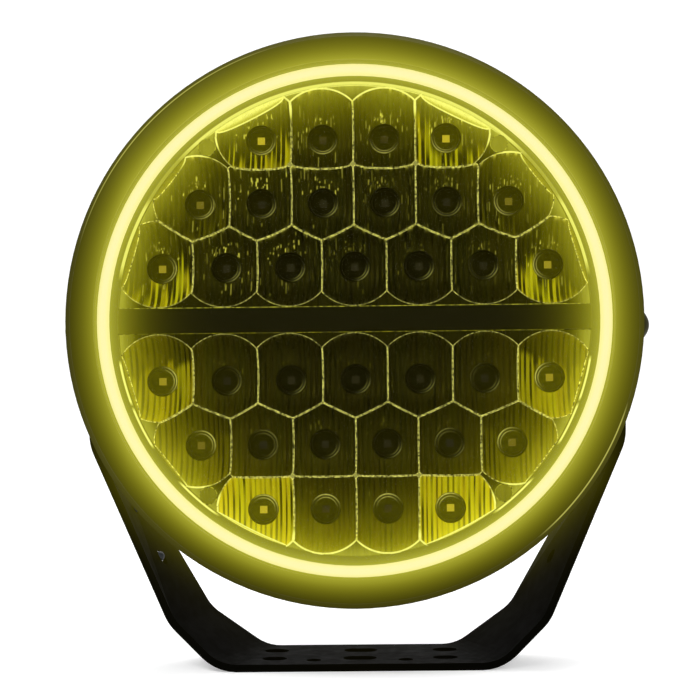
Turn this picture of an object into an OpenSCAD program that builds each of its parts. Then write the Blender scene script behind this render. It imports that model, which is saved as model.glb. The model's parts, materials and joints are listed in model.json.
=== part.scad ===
// Round auxiliary LED lamp with a lit ring, tilting in a U-shaped steel bracket.
// The lamp faces -Y and +Z is up. The origin is the middle of the bracket's underside.

/* [Bezel] */
// Outer radius of the bezel
bezel_r = 112.6; // [108:0.2:120]
// Wall of the bezel's skirt, outside the housing rim
skirt_wall = 3.2; // [2.6:0.1:4.5]
// Length of the skirt behind the housing rim's front face
skirt_len = 7.5; // [7:0.5:10]
// Distance from the skirt's rear edge to the bezel's widest part
skirt_rise = 11; // [6:0.5:12]
// How much the skirt narrows towards its rear edge
skirt_taper = 1; // [0:0.1:1.4]
// How far the crisp front edge lies inside the skirt
edge_inset = 1.8; // [1:0.1:4]
// Thickness of the lip in front of the lens
lip_t = 2.5; // [1.5:0.1:4]
// Rise of the rounded front from the crisp edge to the crest
front_rise = 2; // [1:0.1:2.4]

/* [Lens and ring light] */
// Thickness of the lens
lens_t = 3; // [2:0.1:4]
// Width of the lens edge that rests on its seal
lens_seat = 1.9; // [1.5:0.1:2.6]
// Thickness of the lens seal
seal_t = 2; // [1.2:0.1:3]
// Width of the lit ring
halo_w = 4.5; // [3:0.1:6]
// Thickness of the ring's circuit board
halo_board_t = 1.6; // [1:0.1:2]
// Number of LEDs behind the ring
halo_led_count = 36; // [24:1:60]
// Length of one ring LED, along the ring
halo_led_l = 2.8; // [1.6:0.1:4]
// Height of one ring LED
halo_led_h = 0.8; // [0.5:0.1:1.2]

/* [Reflectors] */
// Radius of each reflector bowl
bowl_r = 17.3; // [16:0.1:17.6]
// Height of the first row of bowls above the lamp's axis
first_row_y = 22.45; // [22.1:0.05:24]
// Height from one row of bowls to the next
row_step = 25.55; // [24:0.05:27]
// How far the outer row's bowls lie outside their LEDs
outer_shift = 0.6; // [0:0.1:1.5]
// Pitch of the first row, nearest to the middle
pitch_a = 25.55; // [24.5:0.05:26]
// Pitch of the two outer rows
pitch_b = 24.6; // [24:0.05:25]
// Height of the bowls' lowest points above the reflectors' back
bowl_floor = 1.1; // [1:0.1:4]
// Wall of the bowls, whose round backs show behind
shell_t = 1.8; // [1.4:0.1:2.4]
// Radius of the opening for each LED
led_hole_r = 5.8; // [5.2:0.1:6.5]
// Wall of the collar round each LED
collar_wall = 1.4; // [1:0.1:2]
// Wall of the reflectors' round rim
rim_wall = 1.5; // [1:0.1:2]
// Wall of the trim between the reflectors and the lit ring
trim_wall = 1.3; // [1:0.1:2]
// Height of the bar between the two reflectors
bar_h = 9.8; // [8:0.1:10]
// Wall of the hollow bar
bar_wall = 1.4; // [1:0.1:1.8]
// Angle of the reflectors' screw posts above the lamp's middle line
post_angle = 50; // [47:0.1:52]
// Radius of the screw posts
post_r = 3.4; // [3:0.1:4]
// How far the posts' round ends stand out of the reflectors' front
post_rise = 0.4; // [0.2:0.1:0.8]

/* [Lighting board] */
// Gap between the LED board and the reflectors' screw posts
board_gap = 1.3; // [0.5:0.1:2.5]
// Thickness of the LED board
board_t = 1.6; // [1:0.1:2.4]
// Thickness of the thermal pad
pad_t = 0.9; // [0.5:0.1:1.5]
// Width of one LED
led_w = 2.9; // [2.4:0.1:4.5]
// Height of one LED
led_h = 1; // [0.6:0.1:1.6]

/* [Housing] */
// Front face of the housing floor, ahead of the pivot axis
floor_z = 17; // [16:0.5:20]
// Thickness of the housing floor
floor_t = 5.5; // [4:0.5:7]
// Wall of the housing's side
side_wall = 3.4; // [2.5:0.1:4.5]
// Thickness of the flange behind the bezel
flange_t = 6; // [5:0.5:7]
// Thickness of a cooling fin
fin_t = 3; // [2:0.1:4]
// Distance from fin to fin
fin_pitch = 13; // [11:0.5:16]
// How far the fins reach behind the pivot axis
fin_reach = 28; // [22:1:29]
// How much narrower the finned back is than its root
fin_taper = 18; // [8:1:26]
// Radius of the driver compartment
hub_r = 40; // [38:0.5:44]
// Wall of the driver compartment, which takes the cover's screws
hub_wall = 10; // [9:0.5:11]
// How far the driver compartment reaches behind the pivot axis
hub_reach = 30; // [30:1:36]
// Depth of the driver board behind the pivot axis
driver_z = 6; // [4:0.5:9]

/* [Rear cover] */
// Thickness of the rear cover
cover_t = 3.5; // [2.5:0.1:5]
// Number of the cover's screws
cover_screw_count = 6; // [4:1:8]
// Radius of the cable gland's thread
gland_r = 6; // [5:0.1:7]
// Radius of the cable opening
cable_r = 3.2; // [2.5:0.1:3.6]
// Length of the gland's dome nut
nut_l = 8; // [6:0.5:10]

/* [Pivot] */
// Height of the pivot axis above the bracket's underside
pivot_h = 136; // [132:0.5:150]
// Angle at which the lamp rests, front raised
rest_tilt = 7.5; // [0:0.5:15]
// Radius of the pivot bolts
bolt_r = 4; // [3:0.5:5]
// Thickness of the bolt heads
bolt_head_h = 7; // [5:0.1:9]
// Length of the threaded inserts
insert_l = 18; // [14:1:22]
// Radius of the housing's side bosses
boss_r = 13; // [11:0.5:14]
// How far the side bosses stand out of the finned back
boss_proud = 5.3; // [4.3:0.1:8]
// Thickness of the pads between lamp and bracket
pivot_pad_t = 1.5; // [1:0.1:2.5]
// Thickness of the flat washers
washer_t = 1.6; // [1:0.1:2]
// Thickness of the spring washers
spring_t = 2.1; // [1.6:0.1:2.6]

/* [Bracket] */
// Thickness of the steel strip
strip_t = 3; // [2.5:0.1:4]
// Depth of the base, front to back
base_depth = 48; // [44:1:60]
// Depth of the strip at the shoulder bends
shoulder_depth = 36; // [32:0.5:44]
// Depth of the legs at the pivot
leg_depth = 28; // [26:0.5:32]
// Half-width of the flat base at its front edge
base_half_front = 57; // [52:0.5:60]
// Half-width of the flat base at its back edge
base_half_back = 40; // [38.5:0.5:52]
// Half-width at the shoulder bend, front edge
shoulder_half_front = 76.5; // [70:0.5:80]
// Half-width at the shoulder bend, back edge
shoulder_half_back = 64; // [62:0.5:78]
// Height of the shoulder bend
shoulder_h = 18.5; // [17:0.5:24]
// Height of the upper bend, front edge
bend_h_front = 90.5; // [86:0.5:96]
// Height of the upper bend, back edge
bend_h_back = 96; // [92:0.5:104]
// Outer radius of the bends
bend_r = 20; // [12:0.5:22]
// Width of the slots in the base
slot_w = 8.5; // [6:0.1:10]
// Length of the middle slots
mid_slot_l = 13.6; // [11:0.1:18]
// Length of the outer slots
end_slot_l = 10; // [9:0.1:12]
// Distance between the outer slots
slot_span_x = 69; // [66:0.5:72]
// Distance between the two rows of slots
slot_span_y = 19; // [17:0.5:24]
// Radius of the two small holes
pilot_r = 3; // [2:0.1:3.5]
// Distance between the small holes
pilot_span = 37; // [34:0.5:40]
// Distance of the small holes from the front edge
pilot_inset = 10; // [7:0.5:12]
// Radius of the holes in the legs
leg_hole_r = 2.1; // [1.5:0.1:5]

/* [Hidden] */

$fn = 96;
// Facets of the bowls and of their round backs
bowl_facets = 64;
// Length by which a cut runs past the face it opens
past = 1;
// Gap between pieces that slip together
fit_gap = 0.3;
// Gap between faces that lie on each other
face_gap = 0.1;
// Gap between a bolt or screw and the hole it passes through
hole_gap = 0.3;
// Gap between a thread and the metal that holds it
thread_gap = 0.05;
// Gap between a screw's head and the wall of its pocket
pocket_gap = 1;

// Screws, as [thread radius, head radius, head height]
small_screw = [1.5, 2.6, 2];
cover_screw = [2, 3.5, 2.6];
screw_bite = 8;
bezel_screw_count = 8;
bezel_screw_bite = 3.6;

// Radii from the bezel's skirt inwards
skirt_in_r = bezel_r - skirt_wall;
flange_r = skirt_in_r - fit_gap;
bezel_screw_r = flange_r - small_screw[1] - fit_gap;
pocket_r = bezel_screw_r - small_screw[1];
lens_r = pocket_r - fit_gap;
seat_r = lens_r - lens_seat;
halo_out_r = seat_r - 3 * fit_gap;
halo_in_r = halo_out_r - halo_w;
trim_r = halo_in_r - fit_gap - face_gap;
trim_in_r = trim_r - trim_wall;
refl_r = trim_in_r - fit_gap;
bowl_limit_r = refl_r - rim_wall;

// Depths ahead of the pivot axis, from the housing floor to the front
refl_recess = 1;
refl_depth = bowl_r + bowl_floor;
floor_back_z = floor_z - floor_t;
board_z = floor_z + pad_t;
board_top_z = board_z + board_t;
refl_back_z = board_top_z + face_gap;
refl_front_z = refl_back_z + refl_depth;
flange_z = refl_front_z + refl_recess;
lens_z = flange_z + seal_t;
lip_z = lens_z + lens_t + face_gap;
crest_z = lip_z + lip_t;
edge_z = crest_z - front_rise;
skirt_z = flange_z - skirt_len;

// Bezel: crisp outer edge, rounded crest and small chamfer over the lens
edge_r = bezel_r - edge_inset;
crest_w = 2;
crest_r = seat_r + crest_w;
lip_bevel = 0.6;

// Ring light: a ledge in the housing carries its board
halo_led_w = 1.4;
halo_drop = 5;
halo_mid_r = (halo_in_r + halo_out_r) / 2;
ledge_z = flange_z - halo_drop;
halo_board_in_r = halo_in_r + face_gap;
halo_board_out_r = seat_r - fit_gap;
halo_led_z = ledge_z + halo_board_t;
halo_guide_z = halo_led_z + halo_led_h + 2 * face_gap;
halo_face_z = lens_z - 2 * face_gap;
halo_bevel = 0.5;
lens_bevel = 0.4;

// Trim between ring and reflectors, with a sloping lip over the reflectors' rim
trim_top_w = 0.5;
trim_lip_t = 0.3;
trim_lip_r = bowl_limit_r + face_gap;
trim_lip_z = refl_front_z + face_gap;

// Housing outline
ledge_w = 1.9;
floor_bevel = 1;
wall_bend_drop = 3;
wall_in_r = seat_r - ledge_w;
floor_in_r = trim_r + 2 * fit_gap;
wall_out_r = wall_in_r + side_wall;
floor_out_r = floor_in_r + side_wall;
flange_back_z = flange_z - flange_t;
wall_bend_z = flange_back_z - wall_bend_drop;
fin_inset = 2;
fin_root_r = floor_out_r - fin_inset;
fin_knee_z = -4;
fin_edge = 7;

// LEDs of the upper half: each row's pitch, shift along it and shift of its bowls, then each LED's place
cell_margin = 9;
cell_rows = [[pitch_a, 0, 0], [pitch_b, 0.5, 0], [pitch_b, 0.5, outer_shift]];
cells = [
    for (row = [0:2])
        for (i = [-5:5])
            let (at = [(i + cell_rows[row][1]) * cell_rows[row][0], first_row_y + row * row_step])
                if (norm(at) < bowl_limit_r - cell_margin) [at[0], at[1], cell_rows[row][2]]
];
bowls = [for (at = cells) [at[0], at[1] + at[2], refl_front_z]];
post_at_r = bowl_limit_r - post_r + face_gap;
posts = [for (s = [-1, 1]) post_at_r * [s * cos(post_angle), sin(post_angle)]];
refl_edge_y = bar_h / 2 + face_gap;

// LED board, middle bar and what lies under it
board_r = post_at_r - post_r - board_gap;
bar_rise = 0.5;
bar_z = refl_front_z + bar_rise;
bar_end_wall = 5.6;
board_screw_xs = [-62, -25, 25, 62];
feed_w = 12;
feed_t = 5;

// Driver compartment, the parts on its board, and the rear cover
hub_in_r = hub_r - hub_wall;
driver_r = hub_in_r - fit_gap;
driver_ledge = 4;
part_inset = 12;
part_at_r = driver_r - part_inset;
coil_angle = 145;
coil_r = 6;
coil_h = 9;
capacitor_angles = [35, 85];
capacitor_r = 4;
capacitor_h = 11;
chip_angles = [215, 325];
chip_w = 9;
chip_t = 2.4;
terminal_angle = 270;
terminal_w = 7;
terminal_l = 14;
terminal_h = 8;
cover_seat_z = -hub_reach;
cover_z = cover_seat_z - face_gap - cover_t;
cover_bevel = 1;
cover_screw_r = hub_r - cover_screw[1] - fit_gap;
cover_seal_w = 2;
cover_seal_t = 1.5;
cover_seal_r = (hub_in_r + cover_screw_r - cover_screw[0] + cover_seal_w) / 2;

// Cable gland and breather vent in the rear cover
gland_at = [0, -14];
gland_flange_t = 4;
gland_flange_w = 3.5;
gland_inside = 3;
gland_wall = 1;
grommet_r = gland_r - gland_wall;
grommet_seat = 1;
nut_wall = 2;
nut_tip = 2;
nut_end_t = 1.4;
nut_r = gland_r + nut_wall;
vent_at = [0, 16];
vent_stem_r = 3;
vent_inside = 2;
vent_cap_r = 6;
vent_cap_h = 3.4;
vent_top_t = 1;
vent_notch_r = 1;
vent_notch_count = 6;

// Stack on the pivot bolts, outwards from the lamp
boss_root_x = 60;
boss_x = fin_root_r + boss_proud;
leg_x = boss_x + pivot_pad_t + face_gap;
leg_out_x = leg_x + strip_t;
washer_x = leg_out_x + face_gap;
spring_x = washer_x + washer_t;
bolt_head_x = spring_x + spring_t;
bolt_head_ratio = 1.9;
washer_ratio = 2.1;
spring_inset = 1.4;
bolt_head_r = bolt_head_ratio * bolt_r;
washer_r = washer_ratio * bolt_r;
spring_r = washer_r - spring_inset;
spring_slit = 2;
insert_wall = 2;
insert_r = bolt_r + insert_wall;
bolt_tip_gap = 1;
pad_inset = 0.5;
eye_margin = 1.5;
eye_r = leg_depth / 2 + eye_margin;
bolt_hole_gap = 0.5;

// Bracket
bend_steps = 5;
leg_slope = atan2(bend_h_front - shoulder_h, leg_out_x - shoulder_half_front);
leg_hole_heights = [47, 66.5];
leg_drill = 36;

// Points on the lamp's axes: x to the right, y up and z to the front, from the pivot
module on_head() {
    translate([0, 0, pivot_h]) rotate([90 - rest_tilt, 0, 0]) children();
}

module both_sides() {
    for (side = [0, 1]) mirror([side, 0, 0]) children();
}

module along_x(x) {
    translate([x, 0, 0]) rotate([0, 90, 0]) children();
}

module ring(r_out, r_in, h) {
    difference() {
        cylinder(r = r_out, h = h);
        translate([0, 0, -past]) cylinder(r = r_in, h = h + 2 * past);
    }
}

// Screw with its head on z = 0 and its thread going down
module screw(kind, length) {
    difference() {
        cylinder(r = kind[1], h = kind[2]);
        translate([0, 0, kind[2] / 2]) cylinder(r = kind[0], h = kind[2], $fn = 6);
    }
    translate([0, 0, -length]) cylinder(r = kind[0], h = length + kind[2] / 4);
}

module around(count, r) {
    for (i = [0:count - 1]) rotate(360 * (i + 0.5) / count) translate([r, 0, 0]) children();
}

// Slot through the base, lying along x
module base_slot(length) {
    reach = (length - slot_w) / 2;
    translate([-reach, -slot_w / 2, -past]) cube([2 * reach, slot_w, strip_t + 2 * past]);
    for (s = [-1, 1]) translate([s * reach, 0, -past]) cylinder(d = slot_w, h = strip_t + 2 * past);
}

// Corners of one edge of the strip, left top to right top, as [x, z]
function edge_corners(base_half, shoulder_half, bend_h) = let (
    right = [[base_half, 0], [shoulder_half, shoulder_h], [leg_out_x, bend_h], [leg_out_x, pivot_h]]
) concat([for (i = [3:-1:0]) [-right[i][0], right[i][1]]], right);

function heading(a, b) = (b - a) / norm(b - a);
function right_of(v) = [v[1], -v[0]];
function turned(v, a) = [v[0] * cos(a) - v[1] * sin(a), v[0] * sin(a) + v[1] * cos(a)];

// The same corners on the strip's inner face
function inner_corners(p) = [
    for (i = [0:len(p) - 1])
        let (
            before = right_of(heading(p[max(i - 1, 0)], p[max(i, 1)])),
            after = right_of(heading(p[min(i, len(p) - 2)], p[min(i + 1, len(p) - 1)]))
        ) p[i] - strip_t * (before + after) / (1 + before * after)
];

// Corners rounded to arcs, as [x, y, z], where half gives the strip's half-depth at each corner
function rounded(p, half, r) = concat(
    [[p[0][0], half[0], p[0][1]]],
    [
        for (i = [1:len(p) - 2])
            let (
                arrive = heading(p[i - 1], p[i]),
                leave = heading(p[i], p[i + 1]),
                turn = acos(arrive * leave),
                cut = r * tan(turn / 2),
                start = p[i] - cut * arrive,
                centre = start - r * right_of(arrive),
                half_in = half[i] + (half[i - 1] - half[i]) * cut / norm(p[i] - p[i - 1]),
                half_out = half[i] + (half[i + 1] - half[i]) * cut / norm(p[i + 1] - p[i])
            )
            for (k = [0:bend_steps])
                let (at = centre + r * turned(right_of(arrive), turn * k / bend_steps))
                    [at[0], half_in + (half_out - half_in) * k / bend_steps, at[1]]
    ],
    [[p[len(p) - 1][0], half[len(p) - 1], p[len(p) - 1][1]]]
);

// The strip swept from leg to leg, wider at its front edge than at its back edge
module strip() {
    half = [for (d = [leg_depth, leg_depth, shoulder_depth, base_depth]) d / 2];
    halves = concat(half, [for (i = [3:-1:0]) half[i]]);
    front = edge_corners(base_half_front, shoulder_half_front, bend_h_front);
    back = edge_corners(base_half_back, shoulder_half_back, bend_h_back);
    front_out = rounded(front, -halves, bend_r);
    back_out = rounded(back, halves, bend_r);
    front_in = rounded(inner_corners(front), -halves, bend_r - strip_t);
    back_in = rounded(inner_corners(back), halves, bend_r - strip_t);
    count = len(front_out);
    points = [for (k = [0:count - 1]) for (edge = [front_out, back_out, back_in, front_in]) edge[k]];
    sides = [
        for (k = [0:count - 2])
            for (s = [0:3])
                let (a = 4 * k + s, b = 4 * k + (s + 1) % 4)
                    for (face = [[a, b + 4, b], [a, a + 4, b + 4]]) face
    ];
    last = 4 * count - 4;
    ends = [[0, 1, 2], [0, 2, 3], [last, last + 2, last + 1], [last, last + 3, last + 2]];
    polyhedron(points, concat(sides, ends));
}

module bracket() {
    color([0.05, 0.05, 0.05])
    difference() {
        union() {
            strip();
            both_sides() translate([0, 0, pivot_h]) along_x(leg_x) cylinder(r = eye_r, h = strip_t);
        }
        both_sides() {
            translate([0, 0, pivot_h]) along_x(leg_x - past)
                cylinder(r = bolt_r + bolt_hole_gap, h = strip_t + 2 * past);
            for (h = leg_hole_heights)
                translate([shoulder_half_front + (h - shoulder_h) / tan(leg_slope), 0, h])
                    rotate([0, leg_slope, 0]) cylinder(r = leg_hole_r, h = leg_drill, center = true);
            translate([pilot_span / 2, pilot_inset - base_depth / 2, -past])
                cylinder(r = pilot_r, h = strip_t + 2 * past);
        }
        for (y = [-slot_span_y / 2, slot_span_y / 2]) {
            translate([0, y, 0]) base_slot(mid_slot_l);
            for (x = [-slot_span_x / 2, slot_span_x / 2]) translate([x, y, 0]) base_slot(end_slot_l);
        }
    }
}

// Housing: a die-cast cup with a finned back, side bosses and a round driver compartment
module housing_cup() {
    rotate_extrude()
        polygon([
            [0, floor_back_z], [floor_out_r - floor_bevel, floor_back_z], [floor_out_r, floor_z],
            [wall_out_r, wall_bend_z], [wall_out_r, flange_back_z], [flange_r, flange_back_z],
            [flange_r, flange_z], [seat_r, flange_z], [seat_r, ledge_z], [wall_in_r, ledge_z],
            [wall_in_r, wall_bend_z], [floor_in_r, floor_z], [0, floor_z]
        ]);
}

module fins() {
    count = floor((fin_root_r - fin_t) / fin_pitch);
    intersection() {
        rotate_extrude()
            polygon([
                [0, floor_back_z + past], [fin_root_r, floor_back_z + past], [fin_root_r, fin_knee_z],
                [fin_root_r - fin_taper + fin_edge, fin_edge - fin_reach],
                [fin_root_r - fin_taper, -fin_reach], [0, -fin_reach]
            ]);
        for (i = [-count:count])
            translate([i * fin_pitch - fin_t / 2, -bezel_r, -fin_reach - past])
                cube([fin_t, 2 * bezel_r, fin_reach + floor_back_z + 2 * past]);
    }
}

module housing() {
    color([0.09, 0.09, 0.09])
    on_head() difference() {
        union() {
            housing_cup();
            fins();
            translate([0, 0, cover_seat_z]) cylinder(r = hub_r, h = hub_reach + floor_back_z + past);
            both_sides() along_x(boss_root_x) cylinder(r = boss_r, h = boss_x - boss_root_x);
        }
        // Driver compartment, stepped to carry the board, and the slot for the feed to the LED board
        translate([0, 0, cover_seat_z - past]) cylinder(r = hub_in_r, h = hub_reach - driver_z + past);
        translate([0, 0, -driver_z - past])
            cylinder(r = hub_in_r - driver_ledge, h = driver_z + floor_back_z + past);
        feed_slot(0, floor_z + past);
        translate([0, 0, cover_seat_z - past])
            ring(cover_seal_r + face_gap, cover_seal_r - cover_seal_w - face_gap, cover_seal_t + past);
        // Threaded bosses and screw holes
        both_sides() along_x(boss_x - insert_l - past)
            cylinder(r = insert_r + thread_gap, h = insert_l + 2 * past);
        translate([0, 0, cover_seat_z - past]) around(cover_screw_count, cover_screw_r)
            cylinder(r = cover_screw[0] + thread_gap, h = 2 * screw_bite);
        translate([0, 0, flange_back_z - past]) around(bezel_screw_count, bezel_screw_r)
            cylinder(r = small_screw[0] + hole_gap, h = flange_t + 2 * past);
        translate([0, 0, floor_z - screw_bite - past]) at_board_screws()
            cylinder(r = small_screw[0] + thread_gap, h = screw_bite + 2 * past);
        // Pockets between the fins for the reflector screws
        at_posts() {
            translate([0, 0, -fin_reach - past])
                cylinder(r = small_screw[1] + pocket_gap, h = fin_reach + past + floor_back_z);
            translate([0, 0, floor_back_z - past])
                cylinder(r = small_screw[0] + hole_gap, h = floor_t + 2 * past);
        }
    }
}

module at_board_screws() {
    for (x = board_screw_xs) translate([x, 0, 0]) children();
}

module at_posts() {
    for (side = [0, 1], at = posts) mirror([0, side, 0]) translate(at) children();
}

module feed_slot(z, top) {
    translate([-feed_w / 2 - fit_gap, -feed_t / 2 - fit_gap, z])
        cube([feed_w + 2 * fit_gap, feed_t + 2 * fit_gap, top - z]);
}

module front_bezel() {
    arc_steps = 6;
    front = [
        for (i = [0:arc_steps])
            let (a = 90 * i / arc_steps)
                [crest_r + (edge_r - crest_r) * cos(a), edge_z + front_rise * sin(a)]
    ];
    color([0.16, 0.16, 0.02])
    on_head() difference() {
        rotate_extrude()
            polygon(concat(
                [
                    [seat_r, crest_z - lip_bevel], [seat_r, lip_z], [pocket_r, lip_z],
                    [pocket_r, flange_z + face_gap], [skirt_in_r, flange_z + face_gap],
                    [skirt_in_r, skirt_z], [bezel_r - skirt_taper, skirt_z], [bezel_r, skirt_z + skirt_rise]
                ],
                front,
                [[seat_r + lip_bevel, crest_z]]
            ));
        translate([0, 0, flange_z - past]) around(bezel_screw_count, bezel_screw_r)
            cylinder(r = small_screw[0] + thread_gap, h = bezel_screw_bite + past + 2 * face_gap);
    }
}

module bezel_screws() {
    color([0.5, 0.5, 0.5])
    on_head() translate([0, 0, flange_back_z]) around(bezel_screw_count, bezel_screw_r)
        rotate([180, 0, 0]) screw(small_screw, flange_t + bezel_screw_bite);
}

module lens() {
    color([0.9, 0.9, 0.8, 0.25])
    on_head() rotate_extrude()
        polygon([
            [0, lens_z], [lens_r, lens_z], [lens_r, lens_z + lens_t - lens_bevel],
            [lens_r - lens_bevel, lens_z + lens_t], [0, lens_z + lens_t]
        ]);
}

module lens_seal() {
    color([0.05, 0.05, 0.05])
    on_head() translate([0, 0, flange_z]) ring(lens_r, seat_r + face_gap, seal_t);
}

module halo_guide() {
    color([1, 0.95, 0.6])
    on_head() rotate_extrude()
        polygon([
            [halo_in_r, halo_guide_z], [halo_out_r, halo_guide_z], [halo_out_r, halo_face_z - halo_bevel],
            [halo_out_r - halo_bevel, halo_face_z], [halo_in_r + halo_bevel, halo_face_z],
            [halo_in_r, halo_face_z - halo_bevel]
        ]);
}

module halo_board() {
    color([0.9, 0.9, 0.85])
    on_head() translate([0, 0, ledge_z]) ring(halo_board_out_r, halo_board_in_r, halo_board_t);
}

module halo_leds() {
    color([1, 0.9, 0.4])
    on_head() translate([0, 0, halo_led_z]) around(halo_led_count, halo_mid_r)
        translate([-halo_led_w / 2, -halo_led_l / 2, 0]) cube([halo_led_w, halo_led_l, halo_led_h]);
}

module inner_trim() {
    color([0.2, 0.2, 0.03])
    on_head() rotate_extrude()
        polygon([
            [trim_in_r, floor_z], [trim_r, floor_z], [trim_r, halo_face_z],
            [trim_r - trim_top_w, halo_face_z], [trim_lip_r, trim_lip_z + trim_lip_t],
            [trim_lip_r, trim_lip_z], [trim_in_r, trim_lip_z]
        ]);
}

// Upper part of a disc, cut off along the middle bar
module half_disc(r, edge_y, z, top) {
    intersection() {
        translate([0, 0, z]) cylinder(r = r, h = top - z);
        translate([-2 * r, edge_y, z - past]) cube([4 * r, 2 * r, top - z + 2 * past]);
    }
}

// Hollow behind the bowls, round their backs, the LED collars and the posts
module reflector_back() {
    deep_z = refl_back_z - 2 * past;
    difference() {
        half_disc(bowl_limit_r, refl_edge_y + rim_wall, refl_back_z - past, refl_front_z - shell_t);
        for (at = bowls) translate(at) sphere(r = bowl_r + shell_t, $fn = bowl_facets);
        for (at = cells) translate([at[0], at[1], deep_z])
            cylinder(r = led_hole_r + collar_wall, h = refl_depth / 2);
        for (at = posts) translate([at[0], at[1], deep_z]) cylinder(r = post_r, h = refl_depth + 4 * past);
    }
}

// Upper bank of bowls. Neighbouring bowls meet in thin ridges.
module reflector() {
    difference() {
        union() {
            half_disc(refl_r, refl_edge_y, refl_back_z, refl_front_z);
            for (at = posts)
                translate([at[0], at[1], floor_z])
                    cylinder(r = post_r, h = refl_front_z + post_rise - floor_z);
        }
        reflector_back();
        intersection() {
            translate([0, 0, refl_back_z]) cylinder(r = bowl_limit_r, h = refl_depth + bowl_r);
            union() for (at = bowls) translate(at) sphere(r = bowl_r, $fn = bowl_facets);
        }
        for (at = cells)
            translate([at[0], at[1], refl_back_z - past]) cylinder(r = led_hole_r, h = refl_depth / 2);
        for (at = posts)
            translate([at[0], at[1], floor_z - past])
                cylinder(r = small_screw[0] + thread_gap, h = screw_bite + 2 * past);
    }
}

module upper_reflector() {
    color([0.45, 0.43, 0.1])
    on_head() reflector();
}

module lower_reflector() {
    color([0.45, 0.43, 0.1])
    on_head() mirror([0, 1, 0]) reflector();
}

// Screws from behind, through the housing floor into the reflectors' posts
module reflector_screws() {
    color([0.6, 0.6, 0.5])
    on_head() translate([0, 0, floor_back_z]) at_posts()
        rotate([180, 0, 0]) screw(small_screw, floor_t + screw_bite);
}

module centre_bar() {
    inner_h = bar_h - 2 * bar_wall;
    inner_l = 2 * (bowl_limit_r - bar_end_wall);
    color([0.03, 0.03, 0.02])
    on_head() difference() {
        intersection() {
            translate([0, 0, refl_back_z]) cylinder(r = bowl_limit_r, h = bar_z - refl_back_z);
            translate([-bezel_r, -bar_h / 2, refl_back_z - past])
                cube([2 * bezel_r, bar_h, bar_z - refl_back_z + 2 * past]);
        }
        translate([-inner_l / 2, -inner_h / 2, refl_back_z - past])
            cube([inner_l, inner_h, bar_z - refl_back_z - bar_wall + past]);
    }
}

module led_board() {
    color([0.9, 0.9, 0.88])
    on_head() translate([0, 0, board_z]) difference() {
        cylinder(r = board_r, h = board_t);
        translate([0, 0, -past]) at_board_screws()
            cylinder(r = small_screw[0] + hole_gap, h = board_t + 2 * past);
    }
}

module led_emitters() {
    color([0.8, 0.75, 0.1])
    on_head() for (side = [0, 1], at = cells)
        mirror([0, side, 0]) translate([at[0] - led_w / 2, at[1] - led_w / 2, board_top_z])
            cube([led_w, led_w, led_h]);
}

module thermal_pad() {
    color([0.4, 0.5, 0.6])
    on_head() difference() {
        translate([0, 0, floor_z]) cylinder(r = board_r, h = pad_t);
        translate([0, 0, floor_z - past]) at_board_screws()
            cylinder(r = small_screw[0] + hole_gap, h = pad_t + 2 * past);
        feed_slot(floor_z - past, board_z + past);
    }
}

module board_screws() {
    color([0.6, 0.6, 0.6])
    on_head() translate([0, 0, board_top_z]) at_board_screws()
        screw(small_screw, board_top_z - floor_z + screw_bite);
}

module driver_board() {
    color([0.05, 0.3, 0.12])
    on_head() translate([0, 0, -driver_z - board_t]) cylinder(r = driver_r, h = board_t);
}

module on_driver(angle) {
    rotate(angle) translate([part_at_r, 0, 0]) children();
}

module block(w, l, h) {
    translate([-w / 2, -l / 2, 0]) cube([w, l, h]);
}

// Parts on the driver board's rear face: coil, capacitors, chips and the supply terminal
module driver_components() {
    color([0.15, 0.15, 0.17])
    on_head() translate([0, 0, -driver_z - board_t]) rotate([180, 0, 0]) {
        on_driver(coil_angle) cylinder(r = coil_r, h = coil_h);
        for (angle = capacitor_angles) on_driver(angle) cylinder(r = capacitor_r, h = capacitor_h);
        block(chip_w, chip_w, chip_t);
        for (angle = chip_angles) on_driver(angle) block(chip_w, chip_w, chip_t);
        on_driver(terminal_angle) block(terminal_w, terminal_l, terminal_h);
    }
}

// Pin header that carries the current from the driver board to the LED board
module feed_header() {
    color([0.7, 0.6, 0.3])
    on_head() translate([0, 0, -driver_z]) block(feed_w, feed_t, driver_z + board_z);
}

module rear_cover() {
    hole_l = cover_t + 2 * past;
    color([0.08, 0.08, 0.08])
    on_head() difference() {
        union() {
            translate([0, 0, cover_z + cover_bevel]) cylinder(r = hub_r, h = cover_t - cover_bevel);
            translate([0, 0, cover_z]) cylinder(r1 = hub_r - cover_bevel, r2 = hub_r, h = cover_bevel);
        }
        translate([0, 0, cover_z - past]) {
            around(cover_screw_count, cover_screw_r) cylinder(r = cover_screw[0] + hole_gap, h = hole_l);
            translate(gland_at) cylinder(r = gland_r + thread_gap, h = hole_l);
            translate(vent_at) cylinder(r = vent_stem_r + thread_gap, h = hole_l);
        }
    }
}

module rear_cover_seal() {
    color([0.1, 0.1, 0.1])
    on_head() translate([0, 0, cover_seat_z]) ring(cover_seal_r, cover_seal_r - cover_seal_w, cover_seal_t);
}

module rear_cover_screws() {
    color([0.6, 0.6, 0.6])
    on_head() translate([0, 0, cover_z]) around(cover_screw_count, cover_screw_r)
        rotate([180, 0, 0]) screw(cover_screw, cover_t + screw_bite);
}

module on_cover(at) {
    on_head() translate([at[0], at[1], cover_z]) children();
}

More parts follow.
